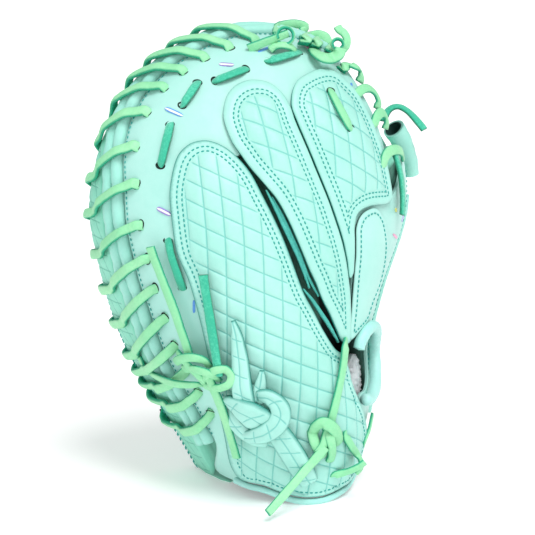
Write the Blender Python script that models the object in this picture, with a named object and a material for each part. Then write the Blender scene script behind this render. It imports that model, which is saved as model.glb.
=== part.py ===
"""Catcher's mitt for the left hand, standing on its heel. Metres, +Z up.
The back of the hand faces -Y, the pocket +Y, the thumb +X, the fingers +Z.
The tables are in millimetres; every mesh is scaled by MM when it is made."""

import math

import bmesh
import bpy
from mathutils import Vector
from mathutils.geometry import delaunay_2d_cdt

MM = 0.001
GAP = 0.4
CENTRE = (11.8, 3.8, 0.0)    # middle of the whole piece, which becomes the origin
CX, CZ = 4.0, 160.0          # the polar centre of the pocket
DOME_Z, DOME_TOP = 165.0, 295.0
SHELL = 2.4                  # leather of the back
PANEL = 3.2                  # a finger panel, lined
LACE_W, LACE_T = 5.6, 2.2    # rawhide lace
WELT_R = 4.7                 # rolled welt
WELT_SINK = 1.4

# z, left edge, right edge, y of the open side, y of the back
SECTION = (
    (-20, -16, 50, 52, -38),
    (0, -28, 62, 52, -42),
    (25, -42, 75, 54, -46),
    (55, -59, 84, 56, -49),
    (90, -78, 83, 56, -51),
    (125, -90, 93, 56, -51),
    (165, -99, 110, 56, -49),
    (200, -103, 118, 56, -45),
    (250, -105, 122, 56, -41),
    (300, -106, 123, 56, -37),
)

# polar angle in degrees, y of the rim's stitch line on the back skin
SEAM = (
    (-75, -2), (-45, 0), (-20, 6), (0, 14), (28, 28), (60, 34), (90, 38), (105, 37),
    (118, 38), (127, 37), (137, 33), (147, 25), (157, 17), (167, 13), (178, 10),
    (190, 8), (201, 5), (214, 3), (224, 1), (240, -1), (262, -2), (285, -2),
)

# x, z of each outline on the back, clockwise or not as drawn
LITTLE = (  # little and ring finger, running down as the wrist strap
    (-19, 200.5), (-24.5, 214), (-30.5, 223), (-37.5, 229.5), (-45.6, 232.5),
    (-53.4, 231), (-59.5, 226.5), (-63.5, 220.5), (-68.5, 203.5), (-69.2, 190),
    (-67.6, 167), (-61.6, 149), (-56, 126), (-50.2, 100), (-44.2, 76),
    (-35.2, 47), (-26.5, 20), (-21.5, 13), (-12, 12), (-5.5, 9.2),
    (1, 7), (9.5, 5.5), (19.5, 5.5), (31, 7.4), (43, 9.4), (50, 15),
    (54.5, 25), (56, 36), (54.5, 44), (50.5, 54), (46, 63), (42, 71),
    (39, 78), (37.2, 85), (31.6, 96.8), (25.4, 101.6), (16.4, 114.6),
    (9, 128.6), (3, 140), (-1, 151), (-5, 163), (-10.6, 179),
)
MIDDLE = (
    (-17.4, 208), (-24.4, 217.6), (-28.5, 225), (-31.8, 231.5), (-33.6, 239.5),
    (-33.8, 246.4), (-31.4, 253.4), (-28, 258.8), (-22, 263.6), (-15.3, 266.2),
    (-9, 266.6), (-1.6, 264.8), (4.6, 259.4), (7.8, 251), (8.7, 244),
    (10.3, 237), (12.6, 228.6), (15.5, 218.4), (18.7, 208), (22.7, 195.6),
    (26.3, 183), (29.9, 170.6), (32.8, 158.8), (35.4, 144.4), (37.6, 127.6),
    (37, 104), (31.6, 105.4), (26.4, 114.4), (21.2, 125), (15.6, 135.4),
    (11.4, 146), (7.6, 154), (3.8, 163.5), (0, 173.3), (-4.4, 185), (-10.6, 198.4),
)
INDEX = (
    (8.8, 250.6), (10.3, 256), (13.4, 261.3), (17.9, 265.4), (23.9, 267.8),
    (33, 270), (41.7, 270.2), (49.1, 267.6), (54.6, 262.2), (60.2, 255.4),
    (63.7, 247.6), (67, 237.4), (70.3, 225), (73, 213.8), (74.6, 201.6),
    (75, 190), (70, 187.6), (62, 188.2), (54, 188.6), (47.4, 187.4), (43, 184.6),
    (40.4, 178), (40, 169), (39.8, 159), (38.6, 148), (36.4, 146),
    (34, 158), (31.1, 170.8), (27.5, 183.4), (23.9, 195.9), (19.9, 208.4),
    (16.7, 218.7), (13.8, 228.9), (11.5, 237.3), (9.9, 244.2),
)
PATCH = (
    (59, 186.6), (50.4, 186), (45.4, 183), (41.9, 177), (41.3, 169), (41.1, 159),
    (40, 147), (39, 128), (38.6, 105), (46.5, 108.6), (56, 114), (61, 123.5),
    (67.5, 135), (70.4, 148), (70.6, 160), (68.8, 170), (65.6, 180),
)
WINDOW = (  # the hole in the back shell that the finger panels cover
    (-62, 196), (-57, 216), (-46, 226), (-34, 224), (-28, 226), (-27.6, 244),
    (-19, 258), (-5, 258.6), (1.4, 246), (16, 250), (22, 261), (42, 264),
    (55, 253), (63, 236), (68, 214), (69, 199), (40, 194), (33, 130),
    (33, 108), (24, 96), (-6, 78), (-42, 84), (-51, 124), (-60, 165),
)
HOLE = (  # the opening by the thumb
    (42.5, 99), (48, 105.4), (56, 107.4), (64, 101), (66.6, 92), (67.2, 82),
    (66, 72), (60, 66.6), (53, 68), (47, 76), (43, 86),
)


# ---------------------------------------------------------------- the skin
def lookup(table, at, column=1):
    """Smooth reading of a table whose first column rises."""
    last = len(table) - 1
    at = min(max(at, table[0][0]), table[last][0])
    i = 0
    while i < last - 1 and at > table[i + 1][0]:
        i += 1
    x0, x1 = table[i][0], table[i + 1][0]
    y0, y1 = table[i][column], table[i + 1][column]
    before = table[i - 1] if i else table[i]
    after = table[i + 2] if i + 2 <= last else table[i + 1]
    m0 = (y1 - before[column]) / (x1 - before[0]) * (x1 - x0)
    m1 = (after[column] - y0) / (after[0] - x0) * (x1 - x0)
    t = (at - x0) / (x1 - x0)
    return (
        (2 * t**3 - 3 * t * t + 1) * y0 + (t**3 - 2 * t * t + t) * m0
        + (3 * t * t - 2 * t**3) * y1 + (t**3 - t * t) * m1
    )


def ease(t):
    t = min(max(t, 0.0), 1.0)
    return t * t * (3 - 2 * t)


def inside_sq(x, z):
    """Positive inside the outline of the back skin, seen from the back."""
    left, right = lookup(SECTION, z, 1), lookup(SECTION, z, 2)
    rise = max(0.0, (z - DOME_Z) / (DOME_TOP - DOME_Z))
    return 1 - rise * rise - ((2 * x - left - right) / (right - left)) ** 2


def back_y(x, z):
    """y of the back skin."""
    open_y, back = lookup(SECTION, z, 3), lookup(SECTION, z, 4)
    return open_y - (open_y - back) * math.sqrt(max(inside_sq(x, z), 0.0))


def back_point(x, z, lift=0.0):
    """A point on the back skin, lifted along its normal."""
    d = 0.5
    sx = (back_y(x + d, z) - back_y(x - d, z)) / (2 * d)
    sz = (back_y(x, z + d) - back_y(x, z - d)) / (2 * d)
    n = Vector((sx, -1.0, sz)).normalized()
    return Vector((x, back_y(x, z), z)) + n * lift


def reach(theta, level=None, floor=0.0):
    """Distance from the polar centre to the skin's edge, or to where the skin is at y = level."""
    c, s = math.cos(theta), math.sin(theta)
    low, high = 5.0, 330.0
    for _ in range(34):
        mid = (low + high) / 2
        x, z = CX + mid * c, CZ + mid * s
        out = z < floor or inside_sq(x, z) <= 0 or (level is not None and back_y(x, z) > level)
        low, high = (low, mid) if out else (mid, high)
    return low


ROUND = 13.0     # how far the rim rolls over before the pocket
CREST = 11.0     # and how far it rises
POCKET = 56.0    # pocket depth below the crest


def front_y(e, x, z):
    """y of the palm side at e mm square in from the rim: a rounded rim, then a deep oval pocket."""
    round_off = CREST * math.sqrt(max(0.0, 1 - (1 - min(e, ROUND) / ROUND) ** 2))
    bowl = math.exp(-(((x - 8) / 61) ** 2) - ((z - 168) / 88) ** 2)
    return 56 + round_off - POCKET * bowl * ease((e - 4) / 30)


def squareness(theta):
    """Cosine between the radial plane and the square across the rim, which isn't a circle."""
    h = 0.03
    edge = reach(theta)
    lean = (reach(theta + h) - reach(theta - h)) / (2 * h) / edge
    return 1 / math.sqrt(1 + min(lean * lean, 2.5))


def seam_level(theta):
    degrees = math.degrees(theta)
    return lookup(SEAM, degrees - 360 if degrees > 285 else degrees)


def rim_section(theta):
    """(run from the stitch line, r, y) down the outside of the rim in one radial plane."""
    seam, edge, square = seam_level(theta), reach(theta), squareness(theta)
    levels = [seam - 30 + 4 * i for i in range(40) if seam - 30 + 4 * i < 53]
    rows = [(reach(theta, y), y) for y in levels] + [(edge, 56.0)]
    for i in range(1, 16):
        e = ROUND * (1 - math.cos(i * math.pi / 20)) if i <= 10 else ROUND + (i - 10) * 4.0
        r = edge - e / square
        rows.append((r, front_y(e, CX + r * math.cos(theta), CZ + r * math.sin(theta))))
    at_seam = reach(theta, seam)
    run, out = 0.0, []
    for i, (r, y) in enumerate(rows):
        if i:
            run += math.hypot((r - rows[i - 1][0]) * square, y - rows[i - 1][1])
        out.append((run, r, y))
    zero = min(out, key=lambda v: math.hypot(v[1] - at_seam, v[2] - seam))
    shift = zero[0] + (seam - zero[2])
    return [(s - shift, r, y) for s, r, y in out], square


def rim_point(theta, run, lift=0.0):
    """A point at run mm past the stitch line, round the rim towards the palm."""
    rows, square = rim_section(theta)

    def at(s):
        for a, b in zip(rows, rows[1:]):
            if s <= b[0]:
                break
        t = (s - a[0]) / (b[0] - a[0])
        return a[1] + (b[1] - a[1]) * t, a[2] + (b[2] - a[2]) * t

    r, y = at(run)
    r0, y0 = at(run - 1.5)
    r1, y1 = at(run + 1.5)
    dr, dy = (r1 - r0) * square, y1 - y0
    length = math.hypot(dr, dy)
    r, y = r + dy / length * lift / square, y - dr / length * lift
    return Vector((CX + r * math.cos(theta), y, CZ + r * math.sin(theta)))


# ---------------------------------------------------------------- meshes
def material(name, color, rough, sheen=0.0):
    made = bpy.data.materials.new(name)
    made.use_nodes = True
    shader = made.node_tree.nodes["Principled BSDF"]
    shader.inputs["Base Color"].default_value = (*color, 1)
    shader.inputs["Roughness"].default_value = rough
    shader.inputs["Sheen Weight"].default_value = sheen
    made.diffuse_color = (*color, 1)
    return made


def add(name, points, faces, color, rough=0.5, smooth=True, sheen=0.0):
    mesh = bpy.data.meshes.new(name)
    mesh.from_pydata([tuple((p[i] - CENTRE[i]) * MM for i in range(3)) for p in points], [], faces)
    edit = bmesh.new()
    edit.from_mesh(mesh)
    bmesh.ops.remove_doubles(edit, verts=edit.verts, dist=1e-6)
    bmesh.ops.recalc_face_normals(edit, faces=edit.faces)
    if edit.calc_volume(signed=True) < 0:
        bmesh.ops.reverse_faces(edit, faces=edit.faces)
    edit.to_mesh(mesh)
    edit.free()
    obj = bpy.data.objects.new(name, mesh)
    bpy.context.scene.collection.objects.link(obj)
    mesh.materials.append(material(name, color, rough, sheen))
    if smooth:
        for face in mesh.polygons:
            face.use_smooth = True
    return obj


def in_loop(x, z, loop):
    hit = False
    for (x0, z0), (x1, z1) in zip(loop, loop[1:] + loop[:1]):
        if (z0 > z) != (z1 > z) and x < x0 + (z - z0) / (z1 - z0) * (x1 - x0):
            hit = not hit
    return hit


def near_loop(x, z, loop):
    """Distance from a point to a closed outline."""
    best = 1e9
    for (x0, z0), (x1, z1) in zip(loop, loop[1:] + loop[:1]):
        dx, dz = x1 - x0, z1 - z0
        t = ((x - x0) * dx + (z - z0) * dz) / max(dx * dx + dz * dz, 1e-9)
        t = min(max(t, 0.0), 1.0)
        best = min(best, math.hypot(x - x0 - dx * t, z - z0 - dz * t))
    return best


def sheet(name, outline, low, high, color, step=14.0, cuts=(), surface=None, rough=0.55):
    """A leather piece between two offsets of a surface, filled inside an outline in x and z."""
    surface = surface or back_point
    loops = [list(outline)] + [list(cut) for cut in cuts]
    flat, edges = [], []
    for loop in loops:
        first = len(flat)
        flat += [Vector(p) for p in loop]
        edges += [(first + i, first + (i + 1) % len(loop)) for i in range(len(loop))]
    xs, zs = [p[0] for p in outline], [p[1] for p in outline]
    row, z = 0, min(zs) + step / 2
    while z < max(zs):
        x = min(xs) + (step / 2 if row % 2 else 0)
        while x < max(xs):
            if (
                in_loop(x, z, loops[0])
                and not any(in_loop(x, z, cut) for cut in loops[1:])
                and min(near_loop(x, z, loop) for loop in loops) > step * 0.42
            ):
                flat.append(Vector((x, z)))
            x += step
        z += step * 0.87
        row += 1
    verts, _, faces, *_ = delaunay_2d_cdt(flat, edges, [], 0, 1e-5)
    kept = []
    for face in faces:
        x = sum(verts[i].x for i in face) / 3
        z = sum(verts[i].y for i in face) / 3
        if in_loop(x, z, loops[0]) and not any(in_loop(x, z, cut) for cut in loops[1:]):
            kept.append(tuple(face))
    n = len(verts)
    points = [surface(v.x, v.y, low(v.x, v.y) if callable(low) else low) for v in verts]
    points += [surface(v.x, v.y, high(v.x, v.y) if callable(high) else high) for v in verts]
    count = {}
    for face in kept:
        for a, b in zip(face, face[1:] + face[:1]):
            count[(a, b)] = count.get((a, b), 0) + 1
    out = [tuple(reversed(f)) for f in kept] + [tuple(i + n for i in f) for f in kept]
    for a, b in count:
        if (b, a) not in count:
            out.append((a, b, b + n, a + n))
    used = sorted({i for f in out for i in f})
    index = {v: k for k, v in enumerate(used)}
    return add(name, [points[i] for i in used], [tuple(index[i] for i in f) for f in out], color, rough)


def tube(name, path, radius, color, sides=8, rough=0.5, closed=False, squash=1.0):
    """A round roll along a path. A closed one shares its frame's left-over turn among all rings."""
    count = len(path)
    points, faces, frames = [], [], []
    side = None
    for i in range(count + 1 if closed else count):
        if closed:
            along = (path[(i + 1) % count] - path[(i - 1) % count]).normalized()
        else:
            along = (path[min(i + 1, count - 1)] - path[max(i - 1, 0)]).normalized()
        if side is None:
            side = along.cross(Vector((0, 1, 0.01))).normalized()
        side = (side - along * side.dot(along)).normalized()
        frames.append((side.copy(), along.cross(side)))
    turn = 0.0
    if closed:
        first, last = frames[0], frames[count][0]
        turn = math.atan2(last.dot(first[1]), last.dot(first[0])) / count
    for i, p in enumerate(path):
        side, other = frames[i]
        size = radius(i / (count - 1)) if callable(radius) else radius
        for k in range(sides):
            a = 2 * math.pi * k / sides - turn * i
            points.append(p + side * size * math.cos(a) + other * size * squash * math.sin(a))
    for i in range(count if closed else count - 1):
        j = (i + 1) % count
        for k in range(sides):
            m = (k + 1) % sides
            faces.append((i * sides + k, i * sides + m, j * sides + m, j * sides + k))
    if not closed:
        faces.append(tuple(range(sides)))
        faces.append(tuple((count - 1) * sides + k for k in range(sides))[::-1])
    return add(name, points, faces, color, rough)


def strip(name, path, normals, color, width=LACE_W, thick=LACE_T, rough=0.55):
    """A flat lace along a path, its broad face turned to each normal."""
    points, faces = [], []
    count = len(path)
    for i, (p, n) in enumerate(zip(path, normals)):
        along = (path[min(i + 1, count - 1)] - path[max(i - 1, 0)]).normalized()
        across = along.cross(n).normalized() * (width / 2)
        up = across.cross(along).normalized() * (thick / 2)
        points += [p - across - up, p + across - up, p + across + up, p - across + up]
    for i in range(count - 1):
        for k in range(4):
            m = (k + 1) % 4
            faces.append((4 * i + k, 4 * i + m, 4 * i + 4 + m, 4 * i + 4 + k))
    faces.append((0, 1, 2, 3))
    faces.append(tuple(4 * (count - 1) + k for k in (3, 2, 1, 0)))
    return add(name, points, faces, color, rough, smooth=False)


MINT = (0.52, 0.90, 0.80)
MINT_DEEP = (0.42, 0.84, 0.74)
LACE = (0.36, 0.84, 0.60)
SUEDE = (0.06, 0.56, 0.36)
WHITE = (0.86, 0.88, 0.88)


# ---------------------------------------------------------------- the pad
NOTCH_AT, NOTCH_HALF, NOTCH_DEEP = 43.0, 19.0, 0.40


def pad_edge(theta):
    """Edge of the pad: the skin's edge, with the web's notch taken out."""
    degrees = (math.degrees(theta) + 180) % 360 - 180
    part = 1 - ease((abs(degrees - NOTCH_AT) - NOTCH_HALF * 0.45) / (NOTCH_HALF * 0.55))
    return reach(theta) * (1 - NOTCH_DEEP * part), part


HAND = (  # the hand space, seen from the back: x, z
    (-16, -40), (50, -40), (54, 20), (66, 50), (74, 80), (78, 108), (88, 146),
    (90, 172), (78, 176), (68, 160), (62, 178), (60, 215), (48, 240), (30, 246),
    (10, 238), (-4, 242), (-22, 240), (-34, 224), (-52, 208), (-62, 188),
    (-62, 160), (-52, 110), (-40, 60), (-28, 20),
)


def hand_floor(x, z):
    """y of the pad's face inside the hand space; the thumb's part lies deeper."""
    thumb = ease((x - 36) / 34) * ease((200 - z) / 30)
    return 22 - 22 * ease(z / 110) + 5 * ease((z - 150) / 90) + 26 * thumb


def cavity_y(x, z):
    """y of the pad's back face: the hand's floor, and beyond it the underside of the back leather."""
    d = 0.5
    sx = (back_y(x + d, z) - back_y(x - d, z)) / (2 * d)
    sz = (back_y(x, z + d) - back_y(x, z - d)) / (2 * d)
    under = back_y(x, z) + min(4.8 * math.sqrt(1 + sx * sx + sz * sz), 18.0)
    loop = list(HAND)
    d = near_loop(x, z, loop)
    if not in_loop(x, z, loop):
        d = -d
    y = under + max(0.0, hand_floor(x, z) - under) * ease((d + 2) / 12)
    return min(y, 46.0)


def pad_rows(theta):
    """(r, y) from the hand's floor out to the rim and back in to the pocket, in one radial plane."""
    degrees = math.degrees(theta)
    degrees -= 360 if degrees > 285 else 0
    edge, notch = pad_edge(theta)
    c, s = math.cos(theta), math.sin(theta)
    welted = notch < 0.02 and (degrees > 60 or degrees < 26) and -70 < degrees < 259
    rows = []
    if welted:
        base = rim_point(theta, -9, -4.4)
        stop = math.dist((CX, CZ), (base.x, base.z))
        for f in (0.10, 0.22, 0.34, 0.45, 0.55, 0.64, 0.72, 0.79, 0.85, 0.90, 0.95):
            r = stop * f
            rows.append((r, cavity_y(CX + r * c, CZ + r * s)))
        for run, lift in ((-9, -4.4), (0.6, -7.4), (12, -7.4), (23.2, -7.4), (25.2, -0.4), (31, 0), (38, 0),
                          (45, 0), (52, 0), (60, 0)):
            p = rim_point(theta, run, lift)
            rows.append((math.dist((CX, CZ), (p.x, p.z)), p.y))
    else:
        square = 1.0 if notch > 0 else squareness(theta)
        for f in (0.10, 0.22, 0.34, 0.45, 0.55, 0.64, 0.72, 0.79, 0.85, 0.91, 0.96, 1.0):
            rows.append((edge * f, cavity_y(CX + edge * f * c, CZ + edge * f * s)))
        last = rows[-1][1]
        for k in (1, 2, 3, 4):
            rows.append((edge, last + (56 - last) * k / 4))
        for e in (1.5, 5, 12, 20, 30):
            r = edge - e / square
            rows.append((r, front_y(e, CX + r * c, CZ + r * s)))
    r = rows[-1][0]
    for f in (0.84, 0.68, 0.52, 0.36, 0.20, 0.08):
        rows.append((r * f, front_y(34, CX + r * f * c, CZ + r * f * s)))
    return rows


# the pad's sectors: name, first and last polar angle
PADS = (
    ("palm_pad_heel", 252, 288), ("palm_pad_thumb", 288, 378), ("palm_pad_web", 18, 66),
    ("palm_pad_fingers", 66, 156), ("palm_pad_little", 156, 252),
)


def build_pad(name, first, last):
    """One column of points per radial step, from the hand's floor out, over the rim and into the pocket,
    closed by a flat wall at each end of the sector."""
    columns, middle = [], math.radians((first + last) / 2)
    for a in range(first, last + 1, 6):
        theta = math.radians(a % 360)
        c, s = math.cos(theta), math.sin(theta)
        slip = GAP / 2 * ((a == first) - (a == last))
        columns.append([
            Vector((CX + r * c - slip * s, y, max(CZ + r * s + slip * c, 0.0))) for r, y in pad_rows(theta)
        ])
    deep, n = len(columns[0]), len(columns)
    points = [p for column in columns for p in column]
    low, high = len(points), len(points) + 1
    spread = math.sin(math.radians(last - first) / 2)
    x = CX + GAP / 2 / spread * math.cos(middle)
    z = CZ + GAP / 2 / spread * math.sin(middle)
    points += [Vector((x, cavity_y(CX, CZ), z)), Vector((x, front_y(34, CX, CZ), z))]
    faces = []
    for i in range(n - 1):
        j = i + 1
        for k in range(deep - 1):
            faces.append((i * deep + k, j * deep + k, j * deep + k + 1, i * deep + k + 1))
        faces.append((low, j * deep, i * deep))
        faces.append((high, i * deep + deep - 1, j * deep + deep - 1))
    faces.append((high, low) + tuple(range(deep)))
    faces.append((low, high) + tuple((n - 1) * deep + k for k in range(deep - 1, -1, -1)))
    return add(name, points, faces, MINT, 0.5, sheen=0.1)


def rim_outline(first, last, step, run):
    """x and z of the skin along the rim at run mm past the stitch line."""
    out, a = [], first
    while (a <= last) if step > 0 else (a >= last):
        p = rim_point(math.radians(a), run)
        out.append((p.x, p.z))
        a += step
    return out


# polar angle, y of each rawhide lace's hole is 11 mm short of the stitch line
RIM_HOLES = (90.8, 99.1, 107, 114.5, 122, 131, 142, 153.3, 167.6, 181, 194, 207.2, 219, 229, 237.5, 245)
LACE_SLANT = 9.0

# name, x and z of one end, x and z of the other, lift over the back skin
BARS = (
    ("lace_bar_1", (-63.9, 239.5), (-71.7, 218.9), 1.7),
    ("lace_bar_2", (-43.3, 264.7), (-53.3, 254.2), 1.7),
    ("lace_bar_3", (-13.8, 273.4), (-31, 267.8), 1.7),
    ("lace_bar_4", (26.2, 281.3), (5.7, 278.5), 1.7),
    ("lace_bar_5", (-71.9, 170.1), (-67.2, 147.8), 1.7),
    ("lace_bar_6", (41.7, 256), (48.8, 238.3), 8.7),
)


def along_back(ends, lift, steps=6):
    """Points and normals of a straight run over the back skin; lift is one value or one per end."""
    (x0, z0), (x1, z1) = ends
    lifts = lift if isinstance(lift, tuple) else (lift, lift)
    path, normals = [], []
    for i in range(steps + 1):
        t = i / steps
        x, z = x0 + (x1 - x0) * t, z0 + (z1 - z0) * t
        high = lifts[0] + (lifts[1] - lifts[0]) * t
        path.append(back_point(x, z, high))
        normals.append((back_point(x, z, 5) - back_point(x, z, 0)).normalized())
    return path, normals


def rim_lace(name, degrees):
    """One lace from its hole in the back, over the welts and the rim, to the palm side."""
    path, normals = [], []
    stations = (-11, -5, 0, 4, 8, 13, 18, 24, 30, 38, 46, 54, 62)
    for run in stations:
        slant = LACE_SLANT - 8.0 * ease((degrees - 219) / 22)
        theta = math.radians(degrees + slant * (run + 11) / 73)
        lift = 2.3 + 0.8 * ease((degrees - 200) / 10) + 3.8 * ease((run + 3) / 5) * ease((28 - run) / 6)
        path.append(rim_point(theta, run, lift))
        normals.append((rim_point(theta, run, lift + 4) - rim_point(theta, run, lift)).normalized())
    return strip(name, path, normals, LACE)


def carried(path, normal):
    """The first point's normal, carried along the path so that the strip only bends about its width."""
    out = []
    for i in range(len(path)):
        along = (path[min(i + 1, len(path) - 1)] - path[max(i - 1, 0)]).normalized()
        normal = (normal - along * normal.dot(along)).normalized()
        out.append(normal.copy())
    return out


def knot(name, at, size, radius, color, turn=0.0, tilt=0.0):
    """A closed overhand (trefoil) knot of round cord, flattened to lie on the leather."""
    path = []
    for i in range(30):
        t = 2 * math.pi * i / 30
        x = (math.sin(t) + 2 * math.sin(2 * t)) / 3
        z = (math.cos(t) - 2 * math.cos(2 * t)) / 3
        y = -math.sin(3 * t) / 3 * 1.25
        xr, zr = x * math.cos(turn) - z * math.sin(turn), x * math.sin(turn) + z * math.cos(turn)
        path.append(at + Vector((xr * size, y * size + tilt * xr * size, zr * size)))
    return tube(name, path, radius, color, sides=6, closed=True)


def build_shells():
    window = list(WINDOW)
    rim = rim_outline(252, 62, -6, 0.4)
    right = [(66, 264), (72, 247), (76.5, 227), (78.5, 207), (78.5, 192.5)]
    inner = [(70, 193), (69, 199), (68, 214), (63, 236), (55, 253), (42, 264), (22, 261),
             (16, 250), (1.4, 246), (-5, 258.6), (-19, 258), (-27.6, 244), (-28, 226),
             (-34, 224), (-46, 226), (-57, 216), (-62, 196), (-60, 165), (-51, 124),
             (-42, 84), (-33, 54), (-25, 27), (-20, 17), (-20, 8.5)]
    shell = [(-28.5, 8.5)] + rim + right + inner
    sheet("back_shell", shell, -SHELL, 0, MINT, 13)
    thumb = rim_outline(26, -60, -6, 0.4) + [
        (54, 6), (51.4, 10), (55.4, 25), (57, 36), (55.6, 44.6), (51.6, 54.6), (53, 65),
        (60.5, 65), (67.4, 71.5), (68.8, 82), (68, 92.5), (65, 102.4), (56.4, 108.8),
        (47.6, 106.8), (39.8, 101.5), (39, 104), (39.6, 128), (40.6, 147), (41.6, 165),
        (46, 189), (58, 189.4), (79, 190), (88, 197), (96, 206), (103, 212)]
    sheet("thumb_shell", thumb, -SHELL, 0, MINT)


def build_panels():
    def raised(outline, top):
        loop = list(outline)
        return lambda x, z: 0.4 + PANEL + (top - PANEL) * ease(near_loop(x, z, loop) / 13)

    sheet("finger_panel_little", LITTLE, 1.1, raised(LITTLE, 5.5), MINT_DEEP, 15)
    sheet("finger_panel_middle", MIDDLE, 1.0, raised(MIDDLE, 6.0), MINT_DEEP, 12)
    sheet("finger_panel_index", INDEX, 1.0, raised(INDEX, 6.0), MINT_DEEP, 12)
    sheet("thumb_patch", PATCH, 1.0, 3.4, MINT, 13)


def build_rim():
    def welt(name, first, last, step, run, radius=WELT_R):
        path, a = [], first
        while (a <= last) if step > 0 else (a >= last):
            path.append(rim_point(math.radians(a), run, -WELT_SINK))
            a += step
        return tube(name, path, radius, MINT, sides=8)

    welt("welt_outer", 252, 66, -6, 7.2)
    welt("welt_inner", 252, 66, -6, 17.6)
    welt("thumb_welt_outer", 12, -60, -6, 7.2, 4.4)
    welt("thumb_welt_inner", 12, -60, -6, 17.6, 4.4)
    for i, degrees in enumerate(RIM_HOLES):
        rim_lace(f"rim_lace_{i + 1:02d}", degrees)


def build_opening():
    ring = [back_point(x, z, 4.4) for x, z in (
        (45, 101), (48.5, 105.6), (55, 108.4), (62, 104.5), (66.5, 96), (67.8, 86),
        (67, 76), (62.5, 68.4), (56, 64.5))]
    tube("opening_ring", ring, 3.6, MINT, sides=8)
    edge = ((-22.5, 13), (-18, 11.5), (-12, 11.2), (-5.5, 9), (1, 6.6), (9.5, 5), (19.5, 5), (31, 6.8),
            (43, 8.6), (50.4, 14))
    path = [back_point(x, z, 2.4) - Vector((0, 0, 2.6)) for x, z in edge]
    tube("wrist_binding", path, 2.0, MINT_DEEP, sides=7)
    fleece = ((53, 60), (60, 60), (66, 64), (69, 72), (69, 80), (60, 83), (50, 80), (50, 68))
    sheet("wrist_lining", fleece, -11.5, -6.5, WHITE, 9, rough=0.95)


def web_point(x, z, lift=0.0):
    """The web carries the pocket on between the thumb and the index finger."""
    return Vector((x, front_y(34, x, z) - 14.0 - lift, z))


def build_web():
    inner, outer = [], []
    for a in range(27, 60, 4):
        theta = math.radians(a)
        r = pad_edge(theta)[0] + 3.6
        inner.append((CX + r * math.cos(theta), CZ + r * math.sin(theta)))
    for a in range(57, 29, -4):
        theta = math.radians(a)
        r = reach(theta) - 9
        outer.append((CX + r * math.cos(theta), CZ + r * math.sin(theta)))
    sheet("web_panel", inner + outer, -3.0, 0.0, MINT_DEEP, 12, surface=web_point)
    roll = []
    for a in (32, 29, 26, 22, 18, 14):
        roll.append(rim_point(math.radians(a), 16 if a < 24 else 16, 12 if a > 24 else 9))
    pipe("thumb_roll", roll, 6.2, 4.4, MINT)


def pipe(name, path, outer, inner, color, sides=10):
    """A hollow roll, open at the first end and closed at the other."""
    count, points, faces = len(path), [], []
    rings = [(i, outer) for i in range(count)] + [(i, inner) for i in range(count - 2, -1, -1)]
    side = None
    axes = []
    for i in range(count):
        along = (path[min(i + 1, count - 1)] - path[max(i - 1, 0)]).normalized()
        side = along.cross(Vector((0, 0, 1))) if side is None else side
        side = (side - along * side.dot(along)).normalized()
        axes.append((side.copy(), along.cross(side)))
    for i, size in rings:
        u, v = axes[i]
        for k in range(sides):
            a = 2 * math.pi * k / sides
            points.append(path[i] + u * size * math.cos(a) + v * size * math.sin(a))
    total = len(rings)
    for i in range(total - 1):
        if rings[i][0] == rings[i + 1][0]:
            continue
        for k in range(sides):
            m = (k + 1) % sides
            faces.append((i * sides + k, i * sides + m, (i + 1) * sides + m, (i + 1) * sides + k))
    end = count - 1
    # the outer wall's closed end, the inner wall's closed end and the open mouth
    faces = [f for f in faces if not (f[0] // sides == end)]
    faces.append(tuple(end * sides + k for k in range(sides))[::-1])
    faces.append(tuple((end + 1) * sides + k for k in range(sides)))
    for k in range(sides):
        m = (k + 1) % sides
        faces.append((k, m, (total - 1) * sides + m, (total - 1) * sides + k))
    return add(name, points, faces, color)


def build_laces():
    for name, start, end, lift in BARS:
        strip(name, *along_back((start, end), lift, 4), SUEDE, width=5.4)
    # the two tails of the knot at the little finger's side, and the one that hangs from it
    strip("lace_tail_left", *along_back(((-80.6, 166.2), (-61.5, 105)), (6.5, 7.5), 6), LACE, width=6.0)
    strip("lace_tail_suede", *along_back(((-55.1, 152.7), (-48.6, 100)), (9.6, 11), 6), SUEDE, width=6.0)
    strip("lace_tail_lower", *along_back(((-46.8, 78), (-29, 31)), (9.5, 9.5), 6), LACE, width=6.4)
    knot("lace_knot_left", back_point(-53, 91, 9.5), 7.0, 1.9, LACE, 0.5, 0.35)
    # the tie strap, knotted over the wrist strap
    knot("strap_knot", back_point(-20, 55, 18.6), 12.0, 3.9, MINT_DEEP, 0.9)
    strip("strap_tail_upper", *along_back(((-31.5, 74), (-38, 122)), (12, 9), 5), MINT_DEEP, 9, 3)
    strip("strap_tail_lower", *along_back(((-4.5, 43), (7, 21)), (11.5, 8.5), 4), MINT_DEEP, 13, 3)
    # the lace at the thumb's side of the strap, its knot and its long tail
    strip("lace_right_upper", *along_back(((36.3, 97.5), (27.2, 62)), (7.8, 9.2), 5), LACE, width=5.6)
    knot("lace_knot_right", back_point(24, 50, 11.5), 7.4, 2.0, LACE, 0.2)
    path, normals = along_back(((17.5, 37), (-1.5, 11)), (10.5, 15.0), 4)
    path += [path[-1] + Vector((-3.4, -5.0, -2.2)), path[-1] + Vector((-6.5, -12, -4.2))]
    strip("lace_tail_right", path, carried(path, normals[0]), LACE, width=5.6)
    knot("lace_knot_top_1", rim_point(math.radians(81), -2, 7.5), 6.6, 1.8, LACE, 0.3, -0.4)
    knot("lace_knot_top_2", rim_point(math.radians(66), -2, 8.6), 6.6, 1.8, LACE, 0.8, -0.4)
    # laces from the index finger's edge to the web
    for i, (start, end) in enumerate((((62, 266), (73, 256)), ((68, 251), (79, 243)), ((73, 236), (81, 230)))):
        strip(f"web_lace_{i + 1}", *along_back((start, end), (2.4, 7.5), 3), LACE)


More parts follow.
